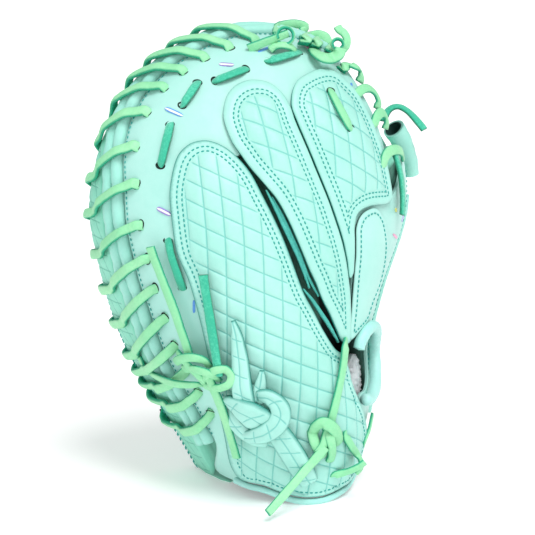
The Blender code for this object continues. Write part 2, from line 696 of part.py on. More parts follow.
def main():
    for old in list(bpy.data.objects):
        bpy.data.objects.remove(old, do_unlink=True)
    bpy.context.scene.unit_settings.scale_length = 1.0
    for pad in PADS:
        build_pad(*pad)
    build_shells()
    build_panels()
    build_rim()
    build_opening()
    build_web()
    build_laces()


main()
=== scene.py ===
"""Looks of the catcher's mitt: leather, lacing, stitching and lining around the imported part.
Tables and helper functions are in millimetres, as in the part's own tables; every mesh is made in metres."""

import math

import bmesh
import bpy
import numpy as np
from mathutils import Matrix, Vector
from mathutils.geometry import delaunay_2d_cdt


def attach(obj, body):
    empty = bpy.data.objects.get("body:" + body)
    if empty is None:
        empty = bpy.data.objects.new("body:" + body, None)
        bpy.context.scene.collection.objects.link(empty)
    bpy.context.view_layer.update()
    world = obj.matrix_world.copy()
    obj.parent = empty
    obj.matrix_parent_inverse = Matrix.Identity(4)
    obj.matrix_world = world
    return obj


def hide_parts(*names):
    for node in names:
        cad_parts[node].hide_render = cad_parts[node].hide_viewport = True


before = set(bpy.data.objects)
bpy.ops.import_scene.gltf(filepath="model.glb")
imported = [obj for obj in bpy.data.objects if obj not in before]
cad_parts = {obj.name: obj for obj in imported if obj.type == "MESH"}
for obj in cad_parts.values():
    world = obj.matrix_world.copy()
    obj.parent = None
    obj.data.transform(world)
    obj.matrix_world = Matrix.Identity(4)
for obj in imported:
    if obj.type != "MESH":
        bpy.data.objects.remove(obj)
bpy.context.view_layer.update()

# ------------------------------------------------------------------ camera
MM = 0.001
CENTRE = np.array((11.8, 3.8, 0.0))
AZIMUTH, ELEVATION, FAR = math.radians(-22), math.radians(12), 1500.0
AIM = np.array((0.0, 0.0, 146.6))
BACKWARD = np.array((
    math.sin(AZIMUTH) * math.cos(ELEVATION), -math.cos(AZIMUTH) * math.cos(ELEVATION), math.sin(ELEVATION)))
RIGHT = np.array((math.cos(AZIMUTH), math.sin(AZIMUTH), 0.0))
UP = np.cross(BACKWARD, RIGHT)
FOCAL = 2343.75  # in pixels of a picture 535 wide

camera_data = bpy.data.cameras.new("camera")
camera_data.sensor_width = 36
camera_data.lens = 36 * FOCAL / 535
camera_data.clip_start, camera_data.clip_end = 0.05, 50
camera = bpy.data.objects.new("camera", camera_data)
bpy.context.scene.collection.objects.link(camera)
camera.location = Vector((AIM + BACKWARD * FAR - CENTRE) * MM)
camera.rotation_mode = "QUATERNION"
camera.rotation_quaternion = Vector(-BACKWARD).to_track_quat("-Z", "Y")
bpy.context.scene.camera = camera

# ------------------------------------------------------------------ the part's own tables
CX, CZ = 4.0, 160.0
DOME_Z, DOME_TOP = 165.0, 295.0
ROUND, CREST, POCKET = 13.0, 11.0, 56.0
SECTION = np.array((  # z, left edge, right edge, y of the open side, y of the back
    (-20, -16, 50, 52, -38), (0, -28, 62, 52, -42), (25, -42, 75, 54, -46), (55, -59, 84, 56, -49),
    (90, -78, 83, 56, -51), (125, -90, 93, 56, -51), (165, -99, 110, 56, -49), (200, -103, 118, 56, -45),
    (250, -105, 122, 56, -41), (300, -106, 123, 56, -37)), float)
SEAM = np.array((  # polar angle in degrees, y of the rim's stitch line
    (-75, -2), (-45, 0), (-20, 6), (0, 14), (28, 28), (60, 34), (90, 38), (105, 37), (118, 38), (127, 37),
    (137, 33), (147, 25), (157, 17), (167, 13), (178, 10), (190, 8), (201, 5), (214, 3), (224, 1), (240, -1),
    (262, -2), (285, -2)), float)
LITTLE = (
    (-19, 200.5), (-24.5, 214), (-30.5, 223), (-37.5, 229.5), (-45.6, 232.5), (-53.4, 231), (-59.5, 226.5),
    (-63.5, 220.5), (-68.5, 203.5), (-69.2, 190), (-67.6, 167), (-61.6, 149), (-56, 126), (-50.2, 100),
    (-44.2, 76), (-35.2, 47), (-26.5, 20), (-21.5, 13), (-12, 12), (-5.5, 9.2), (1, 7), (9.5, 5.5),
    (19.5, 5.5), (31, 7.4), (43, 9.4), (50, 15), (54.5, 25), (56, 36), (54.5, 44), (50.5, 54), (46, 63),
    (42, 71), (39, 78), (37.2, 85), (31.6, 96.8), (25.4, 101.6), (16.4, 114.6), (9, 128.6), (3, 140),
    (-1, 151), (-5, 163), (-10.6, 179))
MIDDLE = (
    (-17.4, 208), (-24.4, 217.6), (-28.5, 225), (-31.8, 231.5), (-33.6, 239.5), (-33.8, 246.4),
    (-31.4, 253.4), (-28, 258.8), (-22, 263.6), (-15.3, 266.2), (-9, 266.6), (-1.6, 264.8), (4.6, 259.4),
    (7.8, 251), (8.7, 244), (10.3, 237), (12.6, 228.6), (15.5, 218.4), (18.7, 208), (22.7, 195.6),
    (26.3, 183), (29.9, 170.6), (32.8, 158.8), (35.4, 144.4), (37.6, 127.6), (37, 104), (31.6, 105.4),
    (26.4, 114.4), (21.2, 125), (15.6, 135.4), (11.4, 146), (7.6, 154), (3.8, 163.5), (0, 173.3),
    (-4.4, 185), (-10.6, 198.4))
INDEX = (
    (8.8, 250.6), (10.3, 256), (13.4, 261.3), (17.9, 265.4), (23.9, 267.8), (33, 270), (41.7, 270.2),
    (49.1, 267.6), (54.6, 262.2), (60.2, 255.4), (63.7, 247.6), (67, 237.4), (70.3, 225), (73, 213.8),
    (74.6, 201.6), (75, 190), (70, 187.6), (62, 188.2), (54, 188.6), (47.4, 187.4), (43, 184.6),
    (40.4, 178), (40, 169), (39.8, 159), (38.6, 148), (36.4, 146), (34, 158), (31.1, 170.8),
    (27.5, 183.4), (23.9, 195.9), (19.9, 208.4), (16.7, 218.7), (13.8, 228.9), (11.5, 237.3), (9.9, 244.2))
PATCH = (
    (59, 186.6), (50.4, 186), (45.4, 183), (41.9, 177), (41.3, 169), (41.1, 159), (40, 147), (39, 128),
    (38.6, 105), (46.5, 108.6), (56, 114), (61, 123.5), (67.5, 135), (70.4, 148), (70.6, 160),
    (68.8, 170), (65.6, 180))
HAND = (
    (-16, -40), (50, -40), (54, 20), (66, 50), (74, 80), (78, 108), (88, 146), (90, 172), (78, 176),
    (68, 160), (62, 178), (60, 215), (48, 240), (30, 246), (10, 238), (-4, 242), (-22, 240), (-34, 224),
    (-52, 208), (-62, 188), (-62, 160), (-52, 110), (-40, 60), (-28, 20))
RIM_HOLES = (90.8, 99.1, 107, 114.5, 122, 131, 142, 153.3, 167.6, 181, 194, 207.2, 219, 229, 237.5, 245)
NOTCH_AT, NOTCH_HALF, NOTCH_DEEP = 43.0, 19.0, 0.40


# ------------------------------------------------------------------ the skin
def lookup(table, at, column=1):
    """Smooth reading of a table whose first column rises."""
    x, y = table[:, 0], table[:, column]
    last = len(x) - 1
    at = np.clip(np.asarray(at, float), x[0], x[-1])
    i = np.clip(np.searchsorted(x, at, side="left") - 1, 0, last - 1)
    before, after = np.maximum(i - 1, 0), np.minimum(i + 2, last)
    span = x[i + 1] - x[i]
    m0 = (y[i + 1] - y[before]) / (x[i + 1] - x[before]) * span
    m1 = (y[after] - y[i]) / (x[after] - x[i]) * span
    t = (at - x[i]) / span
    return (
        (2 * t**3 - 3 * t * t + 1) * y[i] + (t**3 - 2 * t * t + t) * m0
        + (3 * t * t - 2 * t**3) * y[i + 1] + (t**3 - t * t) * m1
    )


def ease(t):
    t = np.clip(t, 0.0, 1.0)
    return t * t * (3 - 2 * t)


def inside_sq(x, z):
    left, right = lookup(SECTION, z, 1), lookup(SECTION, z, 2)
    rise = np.maximum(0.0, (z - DOME_Z) / (DOME_TOP - DOME_Z))
    return 1 - rise * rise - ((2 * x - left - right) / (right - left)) ** 2


def back_y(x, z):
    open_y, back = lookup(SECTION, z, 3), lookup(SECTION, z, 4)
    return open_y - (open_y - back) * np.sqrt(np.maximum(inside_sq(x, z), 0.0))


def slopes(x, z):
    d = 0.5
    return (back_y(x + d, z) - back_y(x - d, z)) / (2 * d), (back_y(x, z + d) - back_y(x, z - d)) / (2 * d)


def skin_normal(x, z):
    x, z = np.broadcast_arrays(np.asarray(x, float), np.asarray(z, float))
    sx, sz = slopes(x, z)
    n = np.stack([sx, -np.ones_like(sx), sz], -1)
    return n / np.linalg.norm(n, axis=-1, keepdims=True)


def skin(x, z, lift=0.0):
    """Points on the back skin, lifted along its normal."""
    x, z, lift = np.broadcast_arrays(np.asarray(x, float), np.asarray(z, float), np.asarray(lift, float))
    return np.stack([x, back_y(x, z), z], -1) + skin_normal(x, z) * lift[..., None]


def reach(theta, level=None, floor=0.0):
    """Distance from the polar centre to the skin's edge, or to where the skin is at y = level."""
    theta = np.asarray(theta, float)
    shape = np.broadcast(theta, 0.0 if level is None else level).shape
    c, s = np.cos(theta), np.sin(theta)
    low, high = np.full(shape, 5.0), np.full(shape, 330.0)
    for _ in range(30):
        mid = (low + high) / 2
        x, z = CX + mid * c, CZ + mid * s
        out = (z < floor) | (inside_sq(x, z) <= 0)
        if level is not None:
            out = out | (back_y(x, z) > level)
        low, high = np.where(out, low, mid), np.where(out, mid, high)
    return low


def front_y(e, x, z):
    """y of the palm side at e mm square in from the rim: a rounded rim, then a deep oval pocket."""
    round_off = CREST * np.sqrt(np.maximum(0.0, 1 - (1 - np.minimum(e, ROUND) / ROUND) ** 2))
    bowl = np.exp(-(((x - 8) / 61) ** 2) - ((z - 168) / 88) ** 2)
    return 56 + round_off - POCKET * bowl * ease((e - 4) / 30)


DEGREES = np.arange(-75.0, 285.01, 1.0)
THETA = np.radians(DEGREES)
H = 0.03
LEAN = (reach(THETA + H) - reach(THETA - H)) / (2 * H) / reach(THETA)
SQUARE = 1 / np.sqrt(1 + np.minimum(LEAN * LEAN, 2.5))
RUNS = np.arange(-34.0, 78.01, 0.5)


def rim_tables():
    """r and y at each polar degree and each half millimetre of run round the rim."""
    table_r, table_y = [], []
    for degrees, theta, square in zip(DEGREES, THETA, SQUARE):
        seam, edge = float(lookup(SEAM, degrees)), float(reach(theta))
        levels = np.array([seam - 30 + 4 * i for i in range(40) if seam - 30 + 4 * i < 53])
        i = np.arange(1, 19)
        e = np.where(i <= 10, ROUND * (1 - np.cos(i * math.pi / 20)), ROUND + (i - 10) * 4.0)
        inner = edge - e / square
        r = np.concatenate([reach(theta, levels), [edge], inner])
        y = np.concatenate([
            levels, [56.0], front_y(e, CX + inner * math.cos(theta), CZ + inner * math.sin(theta))])
        run = np.concatenate([[0], np.cumsum(np.hypot(np.diff(r) * square, np.diff(y)))])
        near = np.argmin(np.hypot(r - float(reach(theta, seam)), y - seam))
        run = run - run[near] - (seam - y[near])
        table_r.append(np.interp(RUNS, run, r))
        table_y.append(np.interp(RUNS, run, y))
    return np.array(table_r), np.array(table_y)


RIM_R, RIM_Y = rim_tables()


def rim(degrees, run, lift=0.0):
    """Points at run mm past the stitch line, round the rim towards the palm."""
    degrees, run, lift = np.broadcast_arrays(
        (np.asarray(degrees, float) + 75) % 360 - 75, np.asarray(run, float), np.asarray(lift, float))

    def at(s):
        i = np.clip(degrees + 75, 0, 359.999)
        j = np.clip((s - RUNS[0]) / 0.5, 0, len(RUNS) - 1.001)
        a, b = i.astype(int), j.astype(int)
        u, v = i - a, j - b
        return [
            (g[a, b] * (1 - v) + g[a, b + 1] * v) * (1 - u) + (g[a + 1, b] * (1 - v) + g[a + 1, b + 1] * v) * u
            for g in (RIM_R, RIM_Y)
        ]

    (r, y), (r0, y0), (r1, y1) = at(run), at(run - 1.5), at(run + 1.5)
    square = np.interp(degrees, DEGREES, SQUARE)
    dr, dy = (r1 - r0) * square, y1 - y0
    length = np.maximum(np.hypot(dr, dy), 1e-9)
    r, y = r + dy / length * lift / square, y - dr / length * lift
    theta = np.radians(degrees)
    return np.stack([CX + r * np.cos(theta), y, CZ + r * np.sin(theta)], -1)


def rim_normal(degrees, run):
    n = rim(degrees, run, 3.0) - rim(degrees, run, 0.0)
    return n / np.linalg.norm(n, axis=-1, keepdims=True)


def seen(px, py):
    """Whether that pixel's ray meets the back skin."""
    o = AIM + BACKWARD * FAR
    d = -BACKWARD + RIGHT * ((px - 267.5) / FOCAL) + UP * ((267.5 - py) / FOCAL)
    p = o + d * np.arange(FAR - 220, FAR + 200, 0.5)[:, None]
    return bool((p[:, 1] > back_y(p[:, 0], p[:, 2]) + np.maximum(-inside_sq(p[:, 0], p[:, 2]), 0) * 300).any())


def spot(px, py, lift=0.0):
    """Where a pixel's ray meets the back skin raised by lift, so that a piece seen there lies on the leather."""
    o = AIM + BACKWARD * FAR
    d = -BACKWARD + RIGHT * ((px - 267.5) / FOCAL) + UP * ((267.5 - py) / FOCAL)
    d = d / np.linalg.norm(d)
    t = np.arange(FAR - 220, FAR + 200, 0.5)
    p = o + d * t[:, None]
    y = back_y(p[:, 0], p[:, 2]) + np.maximum(-inside_sq(p[:, 0], p[:, 2]), 0) * 300
    rise = 0.0
    for _ in range(3):
        gap = p[:, 1] - (y - rise)
        hit = np.nonzero(gap > 0)[0]
        k = int(hit[0]) if len(hit) else int(gap.argmax())
        n = skin_normal(p[k, 0], p[k, 2])
        rise = lift / max(-n[1], 0.28)
    return p[k], n


# length over the skin from x = 0, so that the embossed lattice doesn't stretch down the sides
GRID_X, GRID_Z = np.arange(-112.0, 128.0, 1.0), np.arange(-20.0, 300.1, 2.0)
_gx, _gz = np.meshgrid(GRID_X, GRID_Z, indexing="ij")
_slope = np.clip(slopes(_gx, _gz)[0], -2.5, 2.5)
ARC = np.cumsum(np.sqrt(1 + _slope**2), axis=0)
ARC = ARC - ARC[112]


def arc(x, z):
    i = np.clip((x - GRID_X[0]), 0, len(GRID_X) - 1.001)
    j = np.clip((z - GRID_Z[0]) / 2, 0, len(GRID_Z) - 1.001)
    a, b = i.astype(int), j.astype(int)
    u, v = i - a, j - b
    return (ARC[a, b] * (1 - v) + ARC[a, b + 1] * v) * (1 - u) + (ARC[a + 1, b] * (1 - v) + ARC[a + 1, b + 1] * v) * u


LATTICE_X, LATTICE_Z, LATTICE_LEAN = 11.0, 12.0, 0.46


def lattice_at(s, z, turn=0.0):
    """Coordinates whose whole numbers are the lines of the embossed lattice."""
    c, q = math.cos(math.radians(turn)), math.sin(math.radians(turn))
    a, b = s * c + z * q, z * c - s * q
    return a / LATTICE_X, (b + LATTICE_LEAN * a) / LATTICE_Z


def pillow(u, v, wide=0.085):
    """0 in the lattice's grooves and 1 on its diamonds."""
    def line(w):
        return np.exp(-(((w - np.round(w)) / wide) ** 2))
    return (1 - line(u)) * (1 - line(v))


# ------------------------------------------------------------------ noise with a fixed seed
def value_noise(p, size, seed=0):
    """Smooth noise from -1 to 1 with features of that size."""
    q = np.asarray(p, float) / size + 1000.0
    i = np.floor(q).astype(np.int64)
    f = q - i
    f = f * f * (3 - 2 * f)
    total = np.zeros(q.shape[:-1])
    for dx in (0, 1):
        for dy in (0, 1):
            for dz in (0, 1):
                h = ((i[..., 0] + dx) * 73856093) ^ ((i[..., 1] + dy) * 19349663) ^ ((i[..., 2] + dz) * 83492791)
                h = (h ^ (seed * 2654435761)) & 0xFFFFFFFF
                h = (h ^ (h >> 15)) * 2246822519 & 0xFFFFFFFF
                h = (h ^ (h >> 13)) * 3266489917 & 0xFFFFFFFF
                value = ((h ^ (h >> 16)) & 0xFFFF) / 32767.5 - 1
                weight = (
                    np.where(dx, f[..., 0], 1 - f[..., 0]) * np.where(dy, f[..., 1], 1 - f[..., 1])
                    * np.where(dz, f[..., 2], 1 - f[..., 2]))
                total += value * weight
    return total


def creases(p, size, seed=0, stretch=(1, 1, 1)):
    """Thin ridges of noise, as where leather has folded."""
    q = np.asarray(p, float) * np.array(stretch)
    n = value_noise(q, size, seed) + 0.5 * value_noise(q, size / 2, seed + 7)
    return np.exp(-((n / 0.16) ** 2))


# ------------------------------------------------------------------ meshes
def make(name, points, faces, material, seat=(), uv=None, kind=None, smooth=True):
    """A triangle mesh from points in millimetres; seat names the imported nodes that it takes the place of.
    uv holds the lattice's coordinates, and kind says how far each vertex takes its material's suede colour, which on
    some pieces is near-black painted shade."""
    points, faces = np.array(points, float), np.asarray(faces, np.int32)
    points[:, 2] = np.maximum(points[:, 2], 0.15)
    mesh = bpy.data.meshes.new(name)
    mesh.vertices.add(len(points))
    mesh.vertices.foreach_set("co", ((points - CENTRE) * MM).astype(np.float32).ravel())
    mesh.loops.add(faces.size)
    mesh.loops.foreach_set("vertex_index", faces.ravel())
    mesh.polygons.add(len(faces))
    mesh.polygons.foreach_set("loop_start", np.arange(len(faces), dtype=np.int32) * 3)
    mesh.update(calc_edges=True)
    mesh.validate()
    mesh.polygons.foreach_set("use_smooth", np.full(len(mesh.polygons), smooth))
    if uv is not None:
        layer = mesh.attributes.new("lattice", "FLOAT_VECTOR", "POINT")
        flat = np.zeros((len(points), 3), np.float32)
        flat[:, :np.shape(uv)[1]] = uv
        layer.data.foreach_set("vector", flat.ravel())
    if kind is not None:
        layer = mesh.attributes.new("kind", "FLOAT", "POINT")
        layer.data.foreach_set("value", np.asarray(kind, np.float32))
    mesh.materials.append(material)
    obj = bpy.data.objects.new(name, mesh)
    bpy.context.scene.collection.objects.link(obj)
    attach(obj, "root")
    if seat:
        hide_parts(*seat)
    return obj


def quads(rows, columns, closed=False, start=0, flip=False):
    """Triangles of a grid of rows x columns points; closed joins the last row to the first."""
    count = rows if closed else rows - 1
    i, j = np.meshgrid(np.arange(count), np.arange(columns - 1), indexing="ij")
    a, b = i * columns + j, ((i + 1) % rows) * columns + j
    f = np.stack([np.stack([a, b, b + 1], -1), np.stack([a, b + 1, a + 1], -1)], 2).reshape(-1, 3)
    return (f[:, ::-1] if flip else f) + start


def grid_faces(rows, columns, wrap_rows=False, wrap_columns=False, flip=False, start=0):
    i, j = np.meshgrid(
        np.arange(rows if wrap_rows else rows - 1), np.arange(columns if wrap_columns else columns - 1),
        indexing="ij")
    i2, j2 = (i + 1) % rows, (j + 1) % columns
    a, b, c, d = i * columns + j, i2 * columns + j, i2 * columns + j2, i * columns + j2
    f = np.concatenate([np.stack([a, b, c], -1).reshape(-1, 3), np.stack([a, c, d], -1).reshape(-1, 3)])
    return (f[:, ::-1] if flip else f) + start


def smooth_path(points, step, closed=False):
    """Catmull-Rom curve through the points, resampled at about that step."""
    p = np.asarray(points, float)
    if closed:
        q = np.concatenate([p[-1:], p, p[:2]])
    else:
        q = np.concatenate([2 * p[:1] - p[1:2], p, 2 * p[-1:] - p[-2:-1]])
    out = []
    for k in range(len(q) - 3):
        p0, p1, p2, p3 = q[k:k + 4]
        d1, d2, d3 = (max(np.linalg.norm(b - a), 1e-6) ** 0.5 for a, b in ((p0, p1), (p1, p2), (p2, p3)))
        m1 = (p2 - p1) - d2 * (p2 - p0) / (d1 + d2) + d2 * (p1 - p0) / d1
        m2 = (p2 - p1) - d2 * (p3 - p1) / (d2 + d3) + d2 * (p3 - p2) / d3
        t = np.linspace(0, 1, max(2, int(np.linalg.norm(p2 - p1) / step * 2) + 2), endpoint=False)[:, None]
        out.append(
            (2 * t**3 - 3 * t**2 + 1) * p1 + (t**3 - 2 * t**2 + t) * m1 + (3 * t**2 - 2 * t**3) * p2
            + (t**3 - t**2) * m2)
    fine = np.concatenate(out + [p[:1] if closed else p[-1:]])
    along = np.concatenate([[0], np.cumsum(np.linalg.norm(np.diff(fine, axis=0), axis=1))])
    count = max(4, int(round(along[-1] / step)))
    at = np.linspace(0, along[-1], count + 1)
    fine = np.stack([np.interp(at, along, fine[:, k]) for k in range(p.shape[1])], -1)
    return fine[:-1] if closed else fine


def tangents(path, closed=False):
    if closed:
        t = np.roll(path, -1, 0) - np.roll(path, 1, 0)
    else:
        t = np.gradient(path, axis=0)
    return t / np.maximum(np.linalg.norm(t, axis=1, keepdims=True), 1e-9)


def frames(path, normals=None, closed=False):
    """Side and up vectors along a path; up follows the given normals, or is carried along."""
    t = tangents(path, closed)
    if normals is None:
        up = np.cross(t[0], (0.3, 0.2, 1.0) if abs(t[0][2]) < 0.9 else (1.0, 0.2, 0.0))
        ups = []
        for k in range(len(path)):
            up = up - t[k] * np.dot(up, t[k])
            up = up / max(np.linalg.norm(up), 1e-9)
            ups.append(up)
        normals = np.array(ups)
        if closed:
            side0 = np.cross(t[0], normals[0])
            end = normals[-1] - t[0] * np.dot(normals[-1], t[0])
            turn = math.atan2(np.dot(end, side0), np.dot(end, normals[0]))
            a = -turn * np.arange(len(path)) / len(path)
            s = np.cross(t, normals)
            normals = normals * np.cos(a)[:, None] + s * np.sin(a)[:, None]
    else:
        normals = np.broadcast_to(np.asarray(normals, float), path.shape).copy()
    up = normals - t * np.sum(normals * t, 1, keepdims=True)
    up /= np.maximum(np.linalg.norm(up, axis=1, keepdims=True), 1e-9)
    return np.cross(t, up), up, t


def tube_mesh(path, radius, sides=12, closed=False, normals=None, caps=True, profile=None):
    """Points and faces round a path. profile(k, angle) scales the radius."""
    side, up, t = frames(path, normals, closed)
    n = len(path)
    angle = np.arange(sides) * 2 * math.pi / sides
    r = np.broadcast_to(np.asarray(radius, float).reshape(-1, 1), (n, 1)) * np.ones((n, sides))
    if profile is not None:
        r = r * profile(np.arange(n)[:, None], angle[None, :])
    ring = path[:, None] + side[:, None] * (np.cos(angle)[None, :, None] * r[..., None]) \
        + up[:, None] * (np.sin(angle)[None, :, None] * r[..., None])
    points = ring.reshape(-1, 3)
    faces = grid_faces(n, sides, wrap_rows=closed, wrap_columns=True, flip=True)
    if caps and not closed:
        points = np.concatenate([points, path[:1] - t[:1] * r[0, 0] * 0.25, path[-1:] + t[-1:] * r[-1, 0] * 0.25])
        j = np.arange(sides)
        a, b = np.full(sides, n * sides), np.full(sides, n * sides + 1)
        faces = np.concatenate([
            faces, np.stack([a, j, (j + 1) % sides], -1)[:, ::-1],
            np.stack([b, (n - 1) * sides + j, (n - 1) * sides + (j + 1) % sides], -1)])
    return points, faces


def thong(path, normals, width, thick, taper=0.0, curl=0.0, seed=0, rough=0.16):
    """A flat leather thong: a rounded strip whose upper face is grain and whose edges and underside are suede.
    Returns points, faces and kind (0 on the grain, 1 on the suede)."""
    n = len(path)
    side, up, t = frames(path, normals)
    # outline of the cross-section, from one edge over the grain face to the other and back below
    w = np.array((-0.5, -0.5, -0.46, -0.36, -0.18, 0.0, 0.18, 0.36, 0.46, 0.5, 0.5, 0.4, 0.14, -0.14, -0.4))
    h = np.array((-0.30, 0.18, 0.42, 0.5, 0.54, 0.56, 0.54, 0.5, 0.42, 0.18, -0.30, -0.5, -0.5, -0.5, -0.5))
    kind = np.array((1, 0.8, 0.1, 0, 0, 0, 0, 0, 0.1, 0.8, 1, 1, 1, 1, 1.0))
    m = len(w)
    along = np.concatenate([[0], np.cumsum(np.linalg.norm(np.diff(path, axis=0), axis=1))])
    wide = width * (1 + 0.05 * np.sin(along / 7.0 + seed)) * np.ones(n)
    if taper:
        wide = wide * (1 - taper * ease((along - along[-1] * 0.55) / (along[-1] * 0.45)))
    cup = curl * (w**2 - 0.08) * 4
    p = path[:, None] + side[:, None] * (wide[:, None] * w)[..., None] \
        + up[:, None] * ((thick * h)[None, :] + cup[None, :] * thick * np.ones((n, 1)))[..., None]
    p = p + up[:, None] * (value_noise(p, 2.6, seed) * rough * 0.5)[..., None] \
        + side[:, None] * (value_noise(p, 3.4, seed + 5) * rough)[..., None] * np.sign(w)[None, :, None]
    points = p.reshape(-1, 3)
    faces = grid_faces(n, m, wrap_columns=True)
    kinds = np.tile(kind, n)
    points = np.concatenate([points, p[0].mean(0)[None], p[-1].mean(0)[None]])
    kinds = np.concatenate([kinds, [1, 1]])
    j = np.arange(m)
    faces = np.concatenate([
        faces, np.stack([np.full(m, n * m), j, (j + 1) % m], -1),
        np.stack([np.full(m, n * m + 1), (n - 1) * m + (j + 1) % m, (n - 1) * m + j], -1)])
    return points, faces[:, ::-1], kinds


def merge(parts):
    """Joins (points, faces, kind) tuples into one."""
    points, faces, kinds, at = [], [], [], 0
    for p, f, k in parts:
        points.append(p)
        faces.append(np.asarray(f) + at)
        kinds.append(np.broadcast_to(np.asarray(k, float), len(p)))
        at += len(p)
    return np.concatenate(points), np.concatenate(faces), np.concatenate(kinds)


def edge_distance(points, outline):
    """Signed distance inside a closed outline, and the unit vector from the nearest point of it."""
    a = np.asarray(outline, float)
    b = np.roll(a, -1, 0)
    out_d, out_v = [], []
    for part in np.array_split(np.asarray(points, float), max(1, len(points) // 4000)):
        ab = b - a
        t = np.clip(((part[:, None] - a) * ab).sum(-1) / np.maximum((ab * ab).sum(-1), 1e-9), 0, 1)
        near = a + ab * t[..., None]
        gap = part[:, None] - near
        d = np.linalg.norm(gap, axis=-1)
        k = d.argmin(1)
        rows = np.arange(len(part))
        x, z = part[:, None, 0], part[:, None, 1]
        cross = ((a[:, 1] > z) != (b[:, 1] > z)) & (
            x < (b[:, 0] - a[:, 0]) * (z - a[:, 1]) / np.where(b[:, 1] == a[:, 1], 1e-9, b[:, 1] - a[:, 1]) + a[:, 0])
        inside = cross.sum(1) % 2 == 1
        out_d.append(np.where(inside, 1, -1) * d[rows, k])
        out_v.append(gap[rows, k] / np.maximum(d[rows, k], 1e-9)[:, None] * np.where(inside, 1, -1)[:, None])
    return np.concatenate(out_d), np.concatenate(out_v)


def triangulated(outline, spacing, rings=(), holes=()):
    """Points and triangles of a flat sheet: its outline, rings of points inside it, and an even spread beyond."""
    outline = np.asarray(outline, float)
    loops = [outline] + [np.asarray(hole, float) for hole in holes]
    points = [np.concatenate(loops)]
    edges, at = [], 0
    for loop in loops:
        n = len(loop)
        edges += [(at + k, at + (k + 1) % n) for k in range(n)]
        at += n
    low, high = outline.min(0), outline.max(0)
    xs = np.arange(low[0], high[0], spacing)
    zs = np.arange(low[1], high[1], spacing * 0.866)
    gx, gz = np.meshgrid(xs, zs, indexing="ij")
    gx = gx + (np.arange(len(zs)) % 2)[None, :] * spacing / 2
    spread = np.stack([gx.ravel(), gz.ravel()], -1)
    inner = max(rings) if rings else 0.0
    d, _ = edge_distance(spread, outline)
    keep = d > inner + 0.55 * spacing
    for hole in holes:
        keep &= -edge_distance(spread, hole)[0] > 0.55 * spacing
    points.append(spread[keep])
    for depth in rings:
        n = np.roll(outline, -1, 0) - np.roll(outline, 1, 0)
        n = np.stack([-n[:, 1], n[:, 0]], -1) / np.maximum(np.linalg.norm(n, axis=1, keepdims=True), 1e-9)
        for sign in (1, -1):
            moved = outline + n * sign * depth
            d, _ = edge_distance(moved, outline)
            moved = moved[np.abs(d - depth) < 0.12 * depth + 0.02]
            if len(moved) > len(outline) / 2:
                points.append(moved)
                break
    flat = np.concatenate(points)
    got = delaunay_2d_cdt([Vector(p) for p in flat], edges, [], 0 if not holes else 0, 1e-5)
    out = np.array([(v.x, v.y) for v in got[0]])
    tri = np.array([f for f in got[2] if len(f) == 3], int)
    middle = out[tri].mean(1)
    keep = edge_distance(middle, outline)[0] > 1e-4
    for hole in holes:
        keep &= edge_distance(middle, hole)[0] < -1e-4
    tri = tri[keep]
    a, b, c = out[tri[:, 0]], out[tri[:, 1]], out[tri[:, 2]]
    turn = (b[:, 0] - a[:, 0]) * (c[:, 1] - a[:, 1]) - (b[:, 1] - a[:, 1]) * (c[:, 0] - a[:, 0])
    tri[turn < 0] = tri[turn < 0][:, ::-1]
    used, index = np.unique(tri, return_inverse=True)
    return out[used], index.reshape(-1, 3)


def boundary(faces):
    """Directed edges that only one triangle has."""
    e = np.concatenate([faces[:, [0, 1]], faces[:, [1, 2]], faces[:, [2, 0]]])
    key = np.sort(e, 1)
    _, index, count = np.unique(key, axis=0, return_index=True, return_counts=True)
    return e[index[count == 1]]


def sheet_mesh(flat, tri, place, top, base, rim_rings=()):
    """A closed sheet on a surface: place(x, z, lift) gives points, top and base are lifts per vertex."""
    upper = place(flat[:, 0], flat[:, 1], top)
    rim_edges = boundary(tri)
    used, index = np.unique(rim_edges, return_inverse=True)
    index = index.reshape(-1, 2)
    points, faces = [upper], [tri]
    above, at = used, len(upper)
    for share in tuple(rim_rings) + (1.0,):
        lift = top[used] + (base[used] - top[used]) * share
        points.append(place(flat[used, 0], flat[used, 1], lift))
        below = np.arange(at, at + len(used))
        a, b = above[index[:, 0]], above[index[:, 1]]
        c, d = below[index[:, 0]], below[index[:, 1]]
        faces += [np.stack([b, a, c], -1), np.stack([b, c, d], -1)]
        above, at = below, at + len(used)
    return np.concatenate(points), np.concatenate(faces), len(upper), used


# ------------------------------------------------------------------ materials
def nodes_of(name):
    mat = bpy.data.materials.new(name)
    mat.use_nodes = True
    tree = mat.node_tree
    return mat, tree, tree.nodes["Principled BSDF"]


